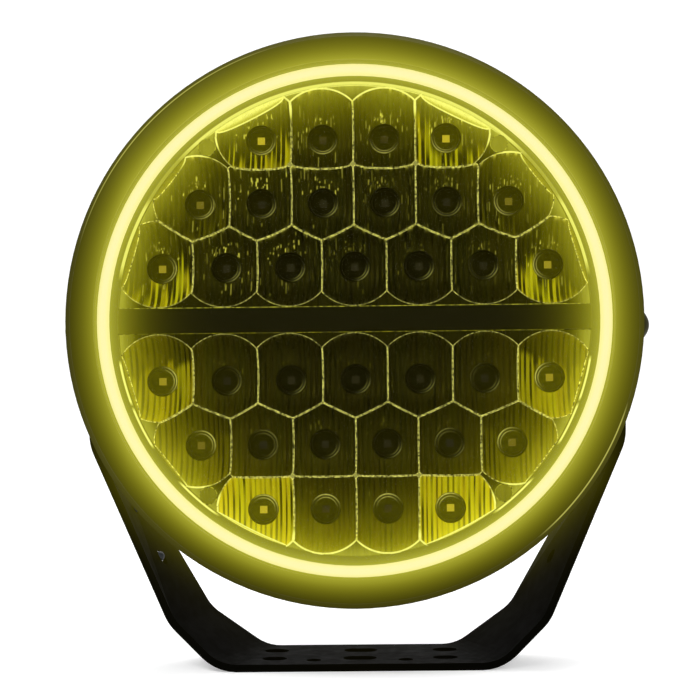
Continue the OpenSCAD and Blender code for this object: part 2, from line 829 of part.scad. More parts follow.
module cable_gland() {
    end_z = -gland_flange_t - nut_l;
    color([0.06, 0.06, 0.06])
    on_cover(gland_at) difference() {
        union() {
            translate([0, 0, -gland_flange_t])
                cylinder(r = gland_r + gland_flange_w, h = gland_flange_t, $fn = 6);
            cylinder(r = gland_r, h = cover_t + gland_inside);
            translate([0, 0, end_z + nut_tip]) cylinder(r = gland_r, h = nut_l);
        }
        translate([0, 0, end_z - past]) cylinder(r = grommet_r, h = nut_l + grommet_seat + past);
        translate([0, 0, end_z]) cylinder(r = cable_r, h = 3 * nut_l);
    }
}

module gland_nut() {
    wall_in = gland_r + thread_gap;
    hole_r = cable_r + fit_gap;
    color([0.06, 0.06, 0.06])
    on_cover(gland_at) translate([0, 0, -gland_flange_t - face_gap]) rotate([180, 0, 0])
        rotate_extrude()
            polygon([
                [wall_in, 0], [nut_r, 0], [nut_r, nut_l - nut_tip], [nut_r - nut_tip, nut_l],
                [hole_r, nut_l], [hole_r, nut_l - nut_end_t], [wall_in, nut_l - nut_end_t]
            ]);
}

module gland_grommet() {
    color([0.15, 0.15, 0.15])
    on_cover(gland_at) translate([0, 0, nut_tip - gland_flange_t - nut_l])
        ring(grommet_r - thread_gap, cable_r, nut_l - nut_tip - grommet_seat);
}

module breather_vent() {
    color([0.12, 0.12, 0.12])
    on_cover(vent_at) {
        cylinder(r = vent_stem_r, h = cover_t + vent_inside);
        translate([0, 0, -vent_cap_h]) difference() {
            cylinder(r = vent_cap_r, h = vent_cap_h);
            around(vent_notch_count, vent_cap_r) translate([0, 0, -past])
                cylinder(r = vent_notch_r, h = vent_cap_h - vent_top_t + past);
        }
    }
}

module pivot_bolts() {
    color([0.12, 0.12, 0.12])
    on_head() both_sides() {
        along_x(boss_x - insert_l + bolt_tip_gap) cylinder(r = bolt_r, h = bolt_head_x - boss_x + insert_l);
        along_x(bolt_head_x) cylinder(r = bolt_head_r, h = bolt_head_h, $fn = 6);
    }
}

module spring_washers() {
    color([0.3, 0.3, 0.3])
    on_head() both_sides() along_x(spring_x) difference() {
        ring(spring_r, bolt_r + 2 * thread_gap, spring_t);
        translate([0, -spring_slit / 2, -past]) cube([2 * washer_r, spring_slit, spring_t + 2 * past]);
    }
}

module flat_washers() {
    color([0.4, 0.4, 0.4])
    on_head() both_sides() along_x(washer_x) ring(washer_r, bolt_r + 2 * thread_gap, washer_t);
}

module pivot_pads() {
    color([0.05, 0.05, 0.05])
    on_head() both_sides() along_x(boss_x) ring(boss_r - pad_inset, bolt_r + bolt_hole_gap, pivot_pad_t);
}

module thread_inserts() {
    color([0.7, 0.6, 0.3])
    on_head() both_sides() along_x(boss_x - insert_l) ring(insert_r, bolt_r + thread_gap, insert_l);
}

bracket();
housing();
front_bezel();
bezel_screws();
lens();
lens_seal();
halo_guide();
halo_board();
halo_leds();
inner_trim();
upper_reflector();
lower_reflector();
reflector_screws();
centre_bar();
led_board();
led_emitters();
thermal_pad();
board_screws();
driver_board();
driver_components();
feed_header();
rear_cover();
rear_cover_seal();
rear_cover_screws();
cable_gland();
gland_nut();
gland_grommet();
breather_vent();
pivot_bolts();
spring_washers();
flat_washers();
pivot_pads();
thread_inserts();
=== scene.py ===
"""Looks of a round auxiliary LED lamp in a U-bracket: finishes, fluted reflectors, studio and camera."""
import json
import math

import bpy
import numpy as np
from mathutils import Matrix, Vector


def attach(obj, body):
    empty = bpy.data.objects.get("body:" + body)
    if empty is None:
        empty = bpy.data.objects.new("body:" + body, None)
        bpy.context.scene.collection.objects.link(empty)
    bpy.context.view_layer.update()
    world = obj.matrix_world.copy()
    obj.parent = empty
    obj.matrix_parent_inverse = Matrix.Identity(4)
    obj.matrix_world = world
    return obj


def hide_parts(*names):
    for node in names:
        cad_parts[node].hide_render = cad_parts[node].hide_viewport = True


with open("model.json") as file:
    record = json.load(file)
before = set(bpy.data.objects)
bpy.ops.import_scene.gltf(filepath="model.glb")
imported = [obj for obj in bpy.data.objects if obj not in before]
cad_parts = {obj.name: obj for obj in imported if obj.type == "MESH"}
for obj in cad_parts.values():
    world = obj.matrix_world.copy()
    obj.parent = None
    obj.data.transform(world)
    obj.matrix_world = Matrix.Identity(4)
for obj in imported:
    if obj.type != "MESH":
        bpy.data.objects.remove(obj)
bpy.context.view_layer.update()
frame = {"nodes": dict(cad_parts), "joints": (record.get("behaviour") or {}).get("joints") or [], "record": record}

# Lamp axes: x to the right, y up and z to the front from the pivot, in mm
MM = 0.001
REST_TILT = math.radians(7.5)
PIVOT = Vector(frame["joints"][0]["pos_m"])
TURN = Matrix.Rotation(math.pi / 2 - REST_TILT, 3, "X")
AXES = np.array(TURN)
HEAD = "head"


def to_row(points):
    """Points on the lamp's axes, in mm, as points of the row frame, in metres."""
    return np.asarray(points) @ AXES.T * MM + np.array(PIVOT)


def to_lamp(points):
    """Points of the row frame, in metres, as points on the lamp's axes, in mm."""
    return (np.asarray(points) - np.array(PIVOT)) @ AXES / MM


def lamp_points(node):
    """A CAD node's vertices on the lamp's axes, in mm."""
    mesh = frame["nodes"][node].data
    flat = np.empty(3 * len(mesh.vertices))
    mesh.vertices.foreach_get("co", flat)
    return to_lamp(flat.reshape(-1, 3))


def radial_span(node):
    """Smallest and largest distance of a CAD node from the lamp's axis, in mm."""
    points = lamp_points(node)
    radii = np.hypot(points[:, 0], points[:, 1])
    return radii.min(), radii.max()


# Sizes in mm, read from the frame apart from the posts' rise
POST_RISE = 0.4
front_z = lamp_points("upper_reflector")[:, 2].max() - POST_RISE
board_z = lamp_points("led_board")[:, 2].max()
halo_in, halo_out = radial_span("halo_guide")
limit_r = radial_span("centre_bar")[1]
bar_half = lamp_points("centre_bar")[:, 1].max()
bezel_out = radial_span("front_bezel")[1]

# Upper bank of bowls. Each row: pitch, offset, count, height of its LEDs,
# and how far its bowls lie outside them
BOWL_R = 17.3
HOLE_R = 5.8
ROWS = (
    (25.55, 0.0, 7, 22.45, 0.0),
    (24.6, 0.5, 6, 48.0, 0.0),
    (24.6, 0.5, 4, 73.55, 0.6),
)
POST_R = 3.4
POST_AT = 89.2
POST_ANGLE = math.radians(50)
WALL_SLOPE = 0.05
EDGE_GAP = 0.1

# Flutes and ridges of the bowls, and the arcs of the outer row. Beads on the ridges, the arcs, the rim and the
# bar's edge carry painted highlights
FLUTES = 12
FLUTE_STEPS = 10
BOWL_STEPS = 34
FLUTE_RISE = 0.2
FLUTE_GROWTH = 2.0
FLUTE_FADE = 30.0
RIDGE_R = 0.14
RIDGE_INSET = 0.2
ARC_R = 0.34
ARC_HEIGHT = (56.0, 66.0)
ARC_FROM, ARC_FULL = 82.0, 88.0
RIM_R = 0.2
BAR_EDGE_R = 0.16
NODE_R, NODE_RISE, NODE_STEPS = 0.9, 0.05, 20

# Steps and small gaps of the meshes
SCAN_REACH = 1.5
SCAN_STEP = 0.04
SCAN_LEAST = 3
OFF_THE_LINE = 1 - 1e-6
LAND_STEPS = 4
OUTLINE_STEPS = 30
OUTLINE_LEAST = 0.1
RUN_LEAST = 3
WALL_STEPS = 600
WALL_TRIES = 8
WALL_CLEAR = 0.05
BAR_EDGE_STEPS = 80
HUB_R = 0.01
NO_FACE = 1e-4
NEAR_ZERO = 1e-9

LEDS, BOWLS, PITCHES, ROW_OF, AT_END = [], [], [], [], []
for row, (pitch, offset, count, height, outwards) in enumerate(ROWS):
    for i in range(count):
        x = (i - count // 2 + offset) * pitch
        LEDS.append((x, height))
        BOWLS.append((x, height + outwards))
        PITCHES.append(pitch)
        ROW_OF.append(row)
        AT_END.append(i in (0, count - 1))
BOWLS = np.array(BOWLS)

# Light of the ring: strength and reach of its haze on either side of it, and its colour at a strength
HAZE_INSIDE, REACH_INSIDE = 0.44, 7.4
HAZE_OUTSIDE, REACH_OUTSIDE = 0.42, 7.0
GREEN_GAIN, GREEN_POWER = 1.0, 1.03
BLUE_GAIN, BLUE_POWER = 0.19, 2.0

# Light that the bowls throw back, by side: soft light and its reach, and the painted shade lines of the flutes,
# whose place, width and depth are uneven and which are deeper in the end bowls
UPPER, LOWER = 1, -1
SOFT_LIGHT = {UPPER: (0.041, 18.0), LOWER: (0.175, 16.0)}
DIM_LIGHT = 0.0085
FLUTE_WIDTH = {UPPER: (0.45, 0.85), LOWER: (0.25, 0.5)}
FLUTE_SHADE = {UPPER: 0.55, LOWER: 0.62}
LINE_SHIFT = 0.15
LINE_DEPTH = 0.5
LINE_SOFT = 0.07
LINE_LEVEL = 0.65
END_SHADE = 0.88
END_DEPTH = 1.8
END_EVEN = {UPPER: 1.0, LOWER: 0.7}
END_ASIDE = (3, 9)

# Mirror light in the end bowls of each row: strength, and how far below the LED it starts, in bowl radii
MIRROR = {
    UPPER: ((0.40, 0.15), (0.04, 0.4), (0.37, 0.0)),
    LOWER: ((0.21, -0.4), (0.03, -0.2), (0.38, -2.0)),
}
MIRROR_LEAN = {UPPER: 0.6, LOWER: 0.27}
MIRROR_JITTER = {UPPER: 0.4, LOWER: 0.15}
MIRROR_EDGE = {UPPER: 0.4, LOWER: 0.2}
MIRROR_FALL = (0.55, 0.0, 8.0)
MIRROR_SHADE = 0.97
AMBER_GREEN = {UPPER: (0.85, 0.97), LOWER: (0.82, 0.92)}
AMBER_BLUE = 0.01

# Glints: dots in an arc above each LED, thin dashes round it, and specks where flutes end at a ridge.
# They are fewer round a quiet place right of the middle. The powers make strong, long or far ones rare
DOTS = {UPPER: 26, LOWER: 9}
DOT_LIGHT = {UPPER: 1.0, LOWER: 0.14}
DOT_TURN = (-0.25, 0.6)
DOT_FROM, DOT_SPREAD = 0.6, 4.0
DOT_LENGTH, DOT_LONGER = 0.3, 1.7
DOT_HALF = 0.17
DOT_NEAR, DOT_SHORT, DOT_RARE = 1.3, 2, 2
DASHES = {UPPER: 34, LOWER: 0}
DASH_LIGHT = 0.4
DASH_ACROSS, DASH_ALONG = (-12, 12), (-12, 13)
DASH_LENGTH, DASH_RARE = (1.0, 5.0), 3
MARK_SOFT = (0.2, 0.25)
SPECK_LIGHT = {UPPER: 0.9, LOWER: 0.12}
SPECK_REACH, SPECK_RARE = 0.35, 5
QUIET_AT, QUIET_SPAN, QUIET_LEVEL = (25, 15), (10, 75), 0.15
SEED = 11

# Light on ridges, rim, outer wall, posts and flat land
PALE = np.array([1.0, 0.96, 0.2])
GLINT = np.array([1.0, 0.95, 0.1])
RIDGE_LIGHT = 0.5
RIDGE_AT_BAR, RIDGE_BAR_SPAN = 0.55, (6, 12)
ARC_LIGHT = 1.0
RIM_LIGHT = {UPPER: 0.6, LOWER: 0.05}
WALL_LIGHT = (0.3, 0.6, 0.9, 1.0, 1.0)
WALL_SPAN = (math.radians(47), math.radians(55))
POST_LIGHT = {UPPER: 0.31, LOWER: 0.23}
POST_EDGE_LIGHT = 0.3
NODE_LIGHT = 0.3
LAND_LIGHT, LAND_SPAN = 0.16, (84, 92)
EDGE_LIGHT = {UPPER: 0.35, LOWER: 0.15}


def ring_haze(radius):
    """Strength of the ring's haze at that distance from the lamp's axis."""
    inwards = np.clip(halo_in - radius, 0, None)
    outwards = np.clip(radius - halo_out, 0, None)
    start = np.interp(radius, (halo_in, halo_out), (HAZE_INSIDE, HAZE_OUTSIDE))
    return start * np.exp(-inwards / REACH_INSIDE - outwards / REACH_OUTSIDE)


def yellow(strength):
    """Colour of the ring's light at that strength, paler where it is strong."""
    strength = np.asarray(strength)
    green, blue = GREEN_GAIN * strength**GREEN_POWER, BLUE_GAIN * strength**BLUE_POWER
    return np.stack([strength, green, blue], axis=-1)


def soft_light(radius, side):
    """Strength of the light that a bowl throws back at that distance from the lamp's axis."""
    strength, reach = SOFT_LIGHT[side]
    return DIM_LIGHT + strength * np.exp((radius - halo_in) / reach)


def smooth_step(value, low, high):
    """Rises smoothly from none at low to one at high."""
    share = np.clip((value - low) / (high - low), 0, 1)
    return share * share * (3 - 2 * share)


def add_object(name, data):
    """A new object in the scene."""
    thing = bpy.data.objects.new(name, data)
    bpy.context.scene.collection.objects.link(thing)
    return thing


# Mesh building
class Shape:
    """Vertices on the lamp's axes in mm, their glow colours, and faces."""

    def __init__(self, body=HEAD):
        self.body = body
        self.points, self.glow, self.faces = [], [], []
        self.count = 0

    def add(self, points, faces, glow):
        points = np.asarray(points, dtype=float)
        self.points.append(points)
        self.glow.append(np.broadcast_to(glow, (len(points), 3)))
        self.faces += [tuple(i + self.count for i in face) for face in faces]
        self.count += len(points)

    def grid(self, points, glow, closed=False):
        """A grid of points, rows by columns, without its empty faces."""
        rows, columns = points.shape[:2]
        index = np.arange(rows * columns).reshape(rows, columns)
        if closed:
            index = np.vstack([index, index[:1]])
        corners = [index[:-1, :-1], index[1:, :-1], index[1:, 1:], index[:-1, 1:]]
        corners = np.stack(corners, axis=-1).reshape(-1, 4)
        flat = points.reshape(-1, 3)
        first, second, third, fourth = flat[corners.T]
        across = np.cross(third - first, fourth - second)
        corners = corners[np.linalg.norm(across, axis=1) > NO_FACE]
        used, again = np.unique(corners, return_inverse=True)
        if len(used):
            glow = np.broadcast_to(glow, points.shape).reshape(-1, 3)
            self.add(flat[used], again.reshape(-1, 4).tolist(), glow[used])

    def build(self, name, side, material, slot, *nodes):
        """Makes the piece on one side of the bar. It rides on its body and stands for the named nodes."""
        mesh = bpy.data.meshes.new(name)
        points = to_row(np.vstack(self.points) * [1, side, 1])
        mesh.from_pydata(points.tolist(), [], [face[::side] for face in self.faces])
        colours = np.ones((self.count, 4), dtype=np.float32)
        colours[:, :3] = np.vstack(self.glow)
        mesh.attributes.new("glow", "FLOAT_COLOR", "POINT").data.foreach_set("color", colours.ravel())
        mesh.shade_smooth()
        mesh.materials.append(material)
        piece = add_object(name, mesh)
        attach(piece, self.body)
        if nodes:
            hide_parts(*nodes)


def bead(shape, path, radius, glow, sides=6, closed=False):
    """A thin round bead along a path."""
    path = np.asarray(path)
    ahead = np.roll(path, -1, axis=0) - np.roll(path, 1, axis=0)
    if not closed:
        ahead[0], ahead[-1] = path[1] - path[0], path[-1] - path[-2]
    ahead /= np.linalg.norm(ahead, axis=1)[:, None] + NEAR_ZERO
    side = np.cross(ahead, [0, 0, 1])
    side /= np.linalg.norm(side, axis=1)[:, None] + NEAR_ZERO
    up = np.cross(side, ahead)
    turns = np.arange(sides + 1) * 2 * math.pi / sides
    ring = side[:, None] * np.cos(turns)[:, None] + up[:, None] * np.sin(turns)[:, None]
    glow = np.asarray(glow)
    glow = glow if glow.ndim == 1 else glow[:, None, :]
    shape.grid(path[:, None] + np.reshape(radius, (-1, 1, 1)) * ring, glow, closed)


def circle(x, y, z, radius, count=40):
    """Points of a level circle."""
    angles = np.arange(count) * 2 * math.pi / count
    return np.stack([x + radius * np.cos(angles), y + radius * np.sin(angles), np.full(count, z)], axis=1)


# Reflectors
def bowl_gap(x, y):
    """Nearest bowl at each point and the distance to its middle."""
    gaps = np.hypot(x[..., None] - BOWLS[:, 0], y[..., None] - BOWLS[:, 1])
    return gaps.argmin(axis=-1), gaps.min(axis=-1)


def bowl_depth(gap):
    """Depth of a bowl below the reflector's front at that distance from its middle."""
    return np.sqrt(np.clip(BOWL_R**2 - gap**2, 0, None))


def bowl_columns(cell):
    """Columns x of one bowl with the lowest and highest y that belong to it."""
    cx = BOWLS[cell][0]
    step = PITCHES[cell] / FLUTES / FLUTE_STEPS
    reach = int(BOWL_R * SCAN_REACH / step)
    x = cx + np.arange(-reach, reach + 1) * step * OFF_THE_LINE
    y = np.arange(bar_half + EDGE_GAP, limit_r, SCAN_STEP)
    columns, rows = np.meshgrid(x, y, indexing="ij")
    nearest, gap = bowl_gap(columns, rows)
    mine = (nearest == cell) & (np.hypot(columns, rows) < limit_r - WALL_SLOPE * bowl_depth(gap))
    kept = mine.sum(axis=1) > SCAN_LEAST
    low = y[mine.argmax(axis=1)]
    high = y[len(y) - 1 - mine[:, ::-1].argmax(axis=1)]
    return x[kept], low[kept], high[kept]


def spread(low, high, count):
    """Rows of values from low to high for every column."""
    return low[:, None] + (high - low)[:, None] * np.linspace(0, 1, count)


def bowl_height(cell, x, y):
    """Height of one fluted bowl, with the flutes fading out at its LED."""
    cx, cy = BOWLS[cell]
    led_x, led_y = LEDS[cell]
    fade = np.clip((np.hypot(x - led_x, y - led_y) - HOLE_R) / FLUTE_GROWTH, 0, 1)
    ripple = FLUTE_RISE * fade * np.cos(2 * math.pi * FLUTES * (x - cx) / PITCHES[cell])
    return np.minimum(front_z - bowl_depth(np.hypot(x - cx, y - cy)) + ripple, front_z)


class Flutes:
    """The uneven flutes of one bowl and the glints on them.

    Drawn for each flute: place, width, depth and phase of its line of painted shade, start and tone of its mirror
    stripe.
    A mark is a dot or dash: its place x and y, its length and its strength.
    """

    def __init__(self, cell, side):
        draw = np.random.default_rng(SEED + 2 * cell + side)
        self.cell, self.side = cell, side
        narrow, wide = FLUTE_WIDTH[side]
        low = (-LINE_SHIFT, narrow, LINE_DEPTH, 0.0, -1.0, 0.0)
        high = (LINE_SHIFT, wide, 1.0, 1.0, 1.0, 1.0)
        self.lines = draw.uniform(low, high, (3 * FLUTES, len(low))).T
        self.specks = draw.random(6 * FLUTES) ** SPECK_RARE
        led_x, led_y = LEDS[cell]
        away = math.hypot(led_x - QUIET_AT[0], side * led_y - QUIET_AT[1])
        gain = QUIET_LEVEL + (1 - QUIET_LEVEL) * smooth_step(away, *QUIET_SPAN)
        count = DOTS[side]
        turn = draw.normal(*DOT_TURN, count)
        reach = HOLE_R + DOT_FROM + DOT_SPREAD * draw.random(count) ** DOT_NEAR
        dots = np.stack([
            led_x + reach * np.sin(turn),
            led_y + side * reach * np.cos(turn),
            DOT_LENGTH + DOT_LONGER * draw.random(count) ** DOT_SHORT,
            gain * DOT_LIGHT[side] * draw.random(count) ** DOT_RARE,
        ], axis=1)
        count = DASHES[side]
        dashes = np.stack([
            led_x + draw.uniform(*DASH_ACROSS, count),
            led_y + side * draw.uniform(*DASH_ALONG, count),
            draw.uniform(*DASH_LENGTH, count),
            gain * DASH_LIGHT * draw.random(count) ** DASH_RARE,
        ], axis=1)
        self.marks = np.vstack([dots, dashes])

    def along(self, x):
        """Place across the flutes, one unit for each of them."""
        return (x - BOWLS[self.cell][0]) / PITCHES[self.cell] * FLUTES

    def shade(self, x, y):
        """How much light the dark lines of the flutes take away."""
        shift, width, depth, phase = self.lines[:4]
        along = self.along(x)
        index = np.floor(along).astype(int) % len(shift)
        from_line = np.abs(along - np.floor(along) - 0.5 - shift[index])
        half = 0.5 * width[index]
        line = 1 - smooth_step(from_line, half - LINE_SOFT, half + LINE_SOFT)
        fade = LINE_LEVEL + (1 - LINE_LEVEL) * np.cos(2 * math.pi * (y / FLUTE_FADE + phase[index]))
        return depth[index] * line * fade

    def glints(self, x, y):
        """Light of the dots and dashes."""
        total = np.zeros_like(x)
        for at_x, at_y, length, strength in self.marks:
            end = smooth_step(np.abs(y - at_y), length / 2 - MARK_SOFT[0], length / 2 + MARK_SOFT[1])
            total += strength * np.exp(-(((x - at_x) / DOT_HALF) ** 2)) * (1 - end)
        return total

    def ends(self, x, edge):
        """Light of the specks where the flutes end, at that distance from the bowl's outline."""
        index = np.floor(2 * self.along(x)).astype(int) % len(self.specks)
        return SPECK_LIGHT[self.side] * self.specks[index] * np.exp(-edge / SPECK_REACH)

    def mirror(self, x, y):
        """Light of the ring in an end bowl, in stripes that start unevenly, and its amber colour."""
        strength, start = MIRROR[self.side][ROW_OF[self.cell]]
        led_x, led_y = LEDS[self.cell]
        index = np.floor(self.along(x)).astype(int) % self.lines.shape[1]
        jitter, tone = self.lines[4][index], self.lines[5][index]
        outwards = np.abs(x) - abs(led_x)
        below = self.side * (led_y - y) - MIRROR_LEAN[self.side] * outwards
        uneven = below / BOWL_R + MIRROR_JITTER[self.side] * jitter
        lit = smooth_step(uneven, start, start + MIRROR_EDGE[self.side])
        fall, first, last = MIRROR_FALL
        lit = lit * (1 - fall * smooth_step(outwards, first, last) * (ROW_OF[self.cell] == 0))
        low, high = AMBER_GREEN[self.side]
        green = low + (high - low) * tone
        return strength * AT_END[self.cell] * lit, green

    def light(self, x, y, edge):
        """Colour of the bowl: dim fluted light, brighter near the ring, mirror stripes in the end bowls."""
        radius = np.hypot(x, y)
        lines, depth = self.shade(x, y), FLUTE_SHADE[self.side]
        if AT_END[self.cell]:
            aside = smooth_step(np.abs(x - LEDS[self.cell][0]), *END_ASIDE)
            even = END_EVEN[self.side]
            lines = np.clip(END_DEPTH * lines, 0, 1) * (even + (1 - even) * aside)
            depth = END_SHADE
        lit, green = self.mirror(x, y)
        back = soft_light(radius, self.side) * (1 - depth * lines)
        back = back + lit * (1 - MIRROR_SHADE * lines)
        amber = np.stack([back, green * back, AMBER_BLUE * back], axis=-1)
        sparks = self.glints(x, y) + self.ends(x, edge)
        return yellow(ring_haze(radius)) + amber + sparks[..., None] * GLINT


def add_bowl(bank, ridges, cell, side, columns):
    """One bowl with the flat land round it, and the beads of painted highlight on its ridges."""
    x, low, high = columns
    cx, cy = BOWLS[cell]
    led_x, led_y = LEDS[cell]
    half2 = BOWL_R**2 - (x - cx) ** 2
    half = np.sqrt(np.clip(half2, 0, None))
    middle = np.clip(cy, low, high)
    arc_low = np.where(half2 > 0, np.clip(cy - half, low, high), middle)
    arc_high = np.where(half2 > 0, np.clip(cy + half, low, high), middle)
    hole = np.sqrt(np.clip(HOLE_R**2 - (x - led_x) ** 2, 0, None))
    hole_low = np.clip(led_y - hole, arc_low, arc_high)
    hole_high = np.clip(led_y + hole, arc_low, arc_high)
    flutes = Flutes(cell, side)
    for rows in (spread(arc_low, hole_low, BOWL_STEPS), spread(hole_high, arc_high, BOWL_STEPS)):
        across = np.broadcast_to(x[:, None], rows.shape)
        points = np.stack([across, rows, bowl_height(cell, across, rows)], axis=-1)
        edge = np.minimum(rows - arc_low[:, None], arc_high[:, None] - rows)
        bank.grid(points, flutes.light(across, rows, edge))
    for rows in (spread(low, arc_low, LAND_STEPS), spread(arc_high, high, LAND_STEPS)):
        across = np.broadcast_to(x[:, None], rows.shape)
        radius = np.hypot(across, rows)
        shine = LAND_LIGHT * smooth_step(radius, *LAND_SPAN) + DIM_LIGHT
        points = np.stack([across, rows, np.full(rows.shape, front_z)], axis=-1)
        bank.grid(points, yellow(ring_haze(radius) + shine))
    add_ridge_highlights(bank, ridges, cell, x, arc_low, arc_high)


def add_ridge_highlights(bank, ridges, cell, x, low, high):
    """Beads of painted highlight along one bowl's outline, apart from where it ends at the outer wall, with
    painted highlight arcs near the ring.
    """
    cx, cy = BOWLS[cell]
    open_columns = high - low > OUTLINE_LEAST
    x, low, high = x[open_columns], low[open_columns], high[open_columns]
    right = np.linspace(low[-1], high[-1], OUTLINE_STEPS)[1:-1]
    left = np.linspace(high[0], low[0], OUTLINE_STEPS)[1:-1]
    outline_x = np.concatenate([x, np.full(len(right), x[-1]), x[::-1], np.full(len(left), x[0])])
    outline_y = np.concatenate([low, right, high[::-1], left])
    gap = np.hypot(outline_x - cx, outline_y - cy)
    depth = bowl_depth(gap)
    inset = 1 - RIDGE_INSET / gap
    path_x, path_y = cx + (outline_x - cx) * inset, cy + (outline_y - cy) * inset
    path = np.stack([path_x, path_y, front_z - depth], axis=1)
    keep = np.hypot(path_x, path_y) < limit_r - WALL_SLOPE * depth - WALL_CLEAR
    start = 0 if keep.all() else int(np.argmin(keep))
    path, keep = np.roll(path, -start, axis=0), np.roll(keep, -start)
    runs = np.split(np.arange(len(keep)), np.flatnonzero(np.diff(keep.astype(int))) + 1)
    for run in runs:
        if keep[run[0]] and len(run) > RUN_LEAST:
            radius = np.hypot(path[run, 0], path[run, 1])
            by_bar = RIDGE_AT_BAR + (1 - RIDGE_AT_BAR) * smooth_step(path[run, 1], *RIDGE_BAR_SPAN)
            # Painted highlight along the ridge, over the ring's haze
            glow = (RIDGE_LIGHT * by_bar)[:, None] * PALE + yellow(ring_haze(radius))
            bead(ridges, path[run], RIDGE_R, glow, closed=len(runs) == 1)
            arc = run[radius > ARC_FROM]
            for piece in np.split(arc, np.flatnonzero(np.diff(arc) > 1) + 1):
                if len(piece) > RUN_LEAST:
                    far = smooth_step(np.hypot(path[piece, 0], path[piece, 1]), ARC_FROM, ARC_FULL)
                    far = far * smooth_step(path[piece, 1], *ARC_HEIGHT)
                    # Arc beads of painted highlight, thicker where that highlight is stronger
                    bead(bank, path[piece], ARC_R * far + HUB_R, yellow(ARC_LIGHT * far))


def add_outer_wall(bank, side):
    """The sloping wall between the bowls and the reflector's round rim, with painted light of the ring on the wall
    and a painted highlight line along the rim.
    """
    start = math.asin((bar_half + EDGE_GAP) / limit_r)
    angles = np.linspace(start, math.pi - start, WALL_STEPS)
    around = np.stack([np.cos(angles), np.sin(angles)], axis=1)
    radius = np.full(len(angles), limit_r)
    for _ in range(WALL_TRIES):
        gap = bowl_gap(radius * around[:, 0], radius * around[:, 1])[1]
        radius = limit_r - WALL_SLOPE * bowl_depth(gap)
    foot = np.column_stack([radius[:, None] * around, front_z - bowl_depth(gap)])
    top = np.column_stack([limit_r * around, np.full(len(angles), front_z)])
    bright = smooth_step(np.minimum(angles, math.pi - angles), *WALL_SPAN)
    light = np.stack([step * bright for step in WALL_LIGHT], axis=1)
    light = light + ring_haze(limit_r) * (1 - bright[:, None])
    shares = np.linspace(0, 1, len(WALL_LIGHT))
    bank.grid(np.stack([foot + (top - foot) * share for share in shares], axis=1), yellow(light))
    rim = top * [1 - RIM_R / limit_r, 1 - RIM_R / limit_r, 1]
    bead(bank, rim, RIM_R, yellow(RIM_LIGHT[side] * bright + ring_haze(limit_r)))


def add_posts(bank, ridges, side):
    """The round ends of the two screw posts and the small bosses where four bowls meet, painted with the ring's
    light, with painted highlights on the posts' edges.
    """
    for x in (-POST_AT * math.cos(POST_ANGLE), POST_AT * math.cos(POST_ANGLE)):
        y, top = POST_AT * math.sin(POST_ANGLE), front_z + POST_RISE
        rims = [circle(x, y, z, r) for r, z in ((POST_R, front_z), (POST_R, top), (HUB_R, top))]
        bank.grid(np.stack(rims, axis=1), yellow(POST_LIGHT[side]), closed=True)
        bead(ridges, circle(x, y, top, POST_R), RIDGE_R, yellow(POST_EDGE_LIGHT), closed=True)
    for x in (-ROWS[1][0], 0, ROWS[1][0]):
        y = (BOWLS[ROWS[0][2]][1] + BOWLS[-1][1]) / 2
        rims = [circle(x, y, front_z + NODE_RISE, r, NODE_STEPS) for r in (NODE_R, HUB_R)]
        bank.grid(np.stack(rims, axis=1), NODE_LIGHT * PALE, closed=True)


# Cup round each LED: radius, height over the board, and shine of the rims from the outside in
CUP = (
    (HOLE_R + 0.3, 2.6, 0.0),
    (HOLE_R + 0.1, 3.0, 0.2),
    (HOLE_R - 0.1, 3.1, 1.0),
    (HOLE_R - 0.35, 2.9, 0.15),
    (HOLE_R - 0.7, 2.0, 0.0),
    (4.85, 1.55, 0.0),
    (4.65, 1.7, 0.7),
    (4.4, 1.5, 0.1),
    (4.1, 0.8, 0.0),
    (HUB_R, 0.8, 0.0),
)
CUP_SHARE, CUP_MORE = 0.48, 0.17
CUP_LIGHT = {UPPER: (0.3, 0.45), LOWER: (0.22, 0.6)}
CUP_TURN = math.radians(-40)
CUP_NEAR = (50, 80)
CUP_CORNER, CUP_INWARDS = 6, 2


def add_cups(cups, side):
    """A stepped cup round each LED, near black as painted shade, with thin crescents of painted light, longer near
    the ring.
    """
    shine = np.array([step[2] for step in CUP])
    for x, y in LEDS:
        points = np.stack([circle(x, y, board_z + height, r) for r, height, _ in CUP], axis=1)
        angles = np.arctan2(points[:, 0, 1] - y, points[:, 0, 0] - x)
        radius = math.hypot(x, y)
        near = smooth_step(radius, *CUP_NEAR)
        corner = np.clip(np.cos(angles - side * CUP_TURN), 0, 1) ** CUP_CORNER
        inwards = np.clip(np.cos(angles - math.atan2(-y, -x)), 0, 1) ** CUP_INWARDS
        inner, outer = CUP_LIGHT[side]
        crescent = inner * (1 - near) * corner + outer * near * inwards
        base = (CUP_SHARE + CUP_MORE * near) * (ring_haze(radius) + soft_light(radius, side))
        glow = yellow(base) + (crescent[:, None] * shine)[..., None] * PALE
        cups.grid(points, glow, closed=True)


def make_reflectors(reflector_coat, ridge_highlight_coat, cup_shade_coat):
    """Both banks of bowls, the lower one below the middle bar."""
    columns = [bowl_columns(cell) for cell in range(len(LEDS))]
    length = np.linspace(-limit_r, limit_r, BAR_EDGE_STEPS)
    whole = np.ones_like(length)
    edge = np.stack([length, (bar_half + EDGE_GAP) * whole, front_z * whole], axis=1)
    for name, side in (("upper", UPPER), ("lower", LOWER)):
        bank, ridges, cups = Shape(), Shape(), Shape()
        for cell in range(len(LEDS)):
            add_bowl(bank, ridges, cell, side, columns[cell])
        add_outer_wall(bank, side)
        add_posts(bank, ridges, side)
        add_cups(cups, side)
        bead(ridges, edge, BAR_EDGE_R, yellow(EDGE_LIGHT[side]))
        bank.build(f"{name}_reflector_bowls", side, reflector_coat, "reflector_coat", f"{name}_reflector")
        ridges.build(f"{name}_ridge_highlights", side, ridge_highlight_coat, "reflector_coat")
        cups.build(f"{name}_led_cups", side, cup_shade_coat, "trim_black")


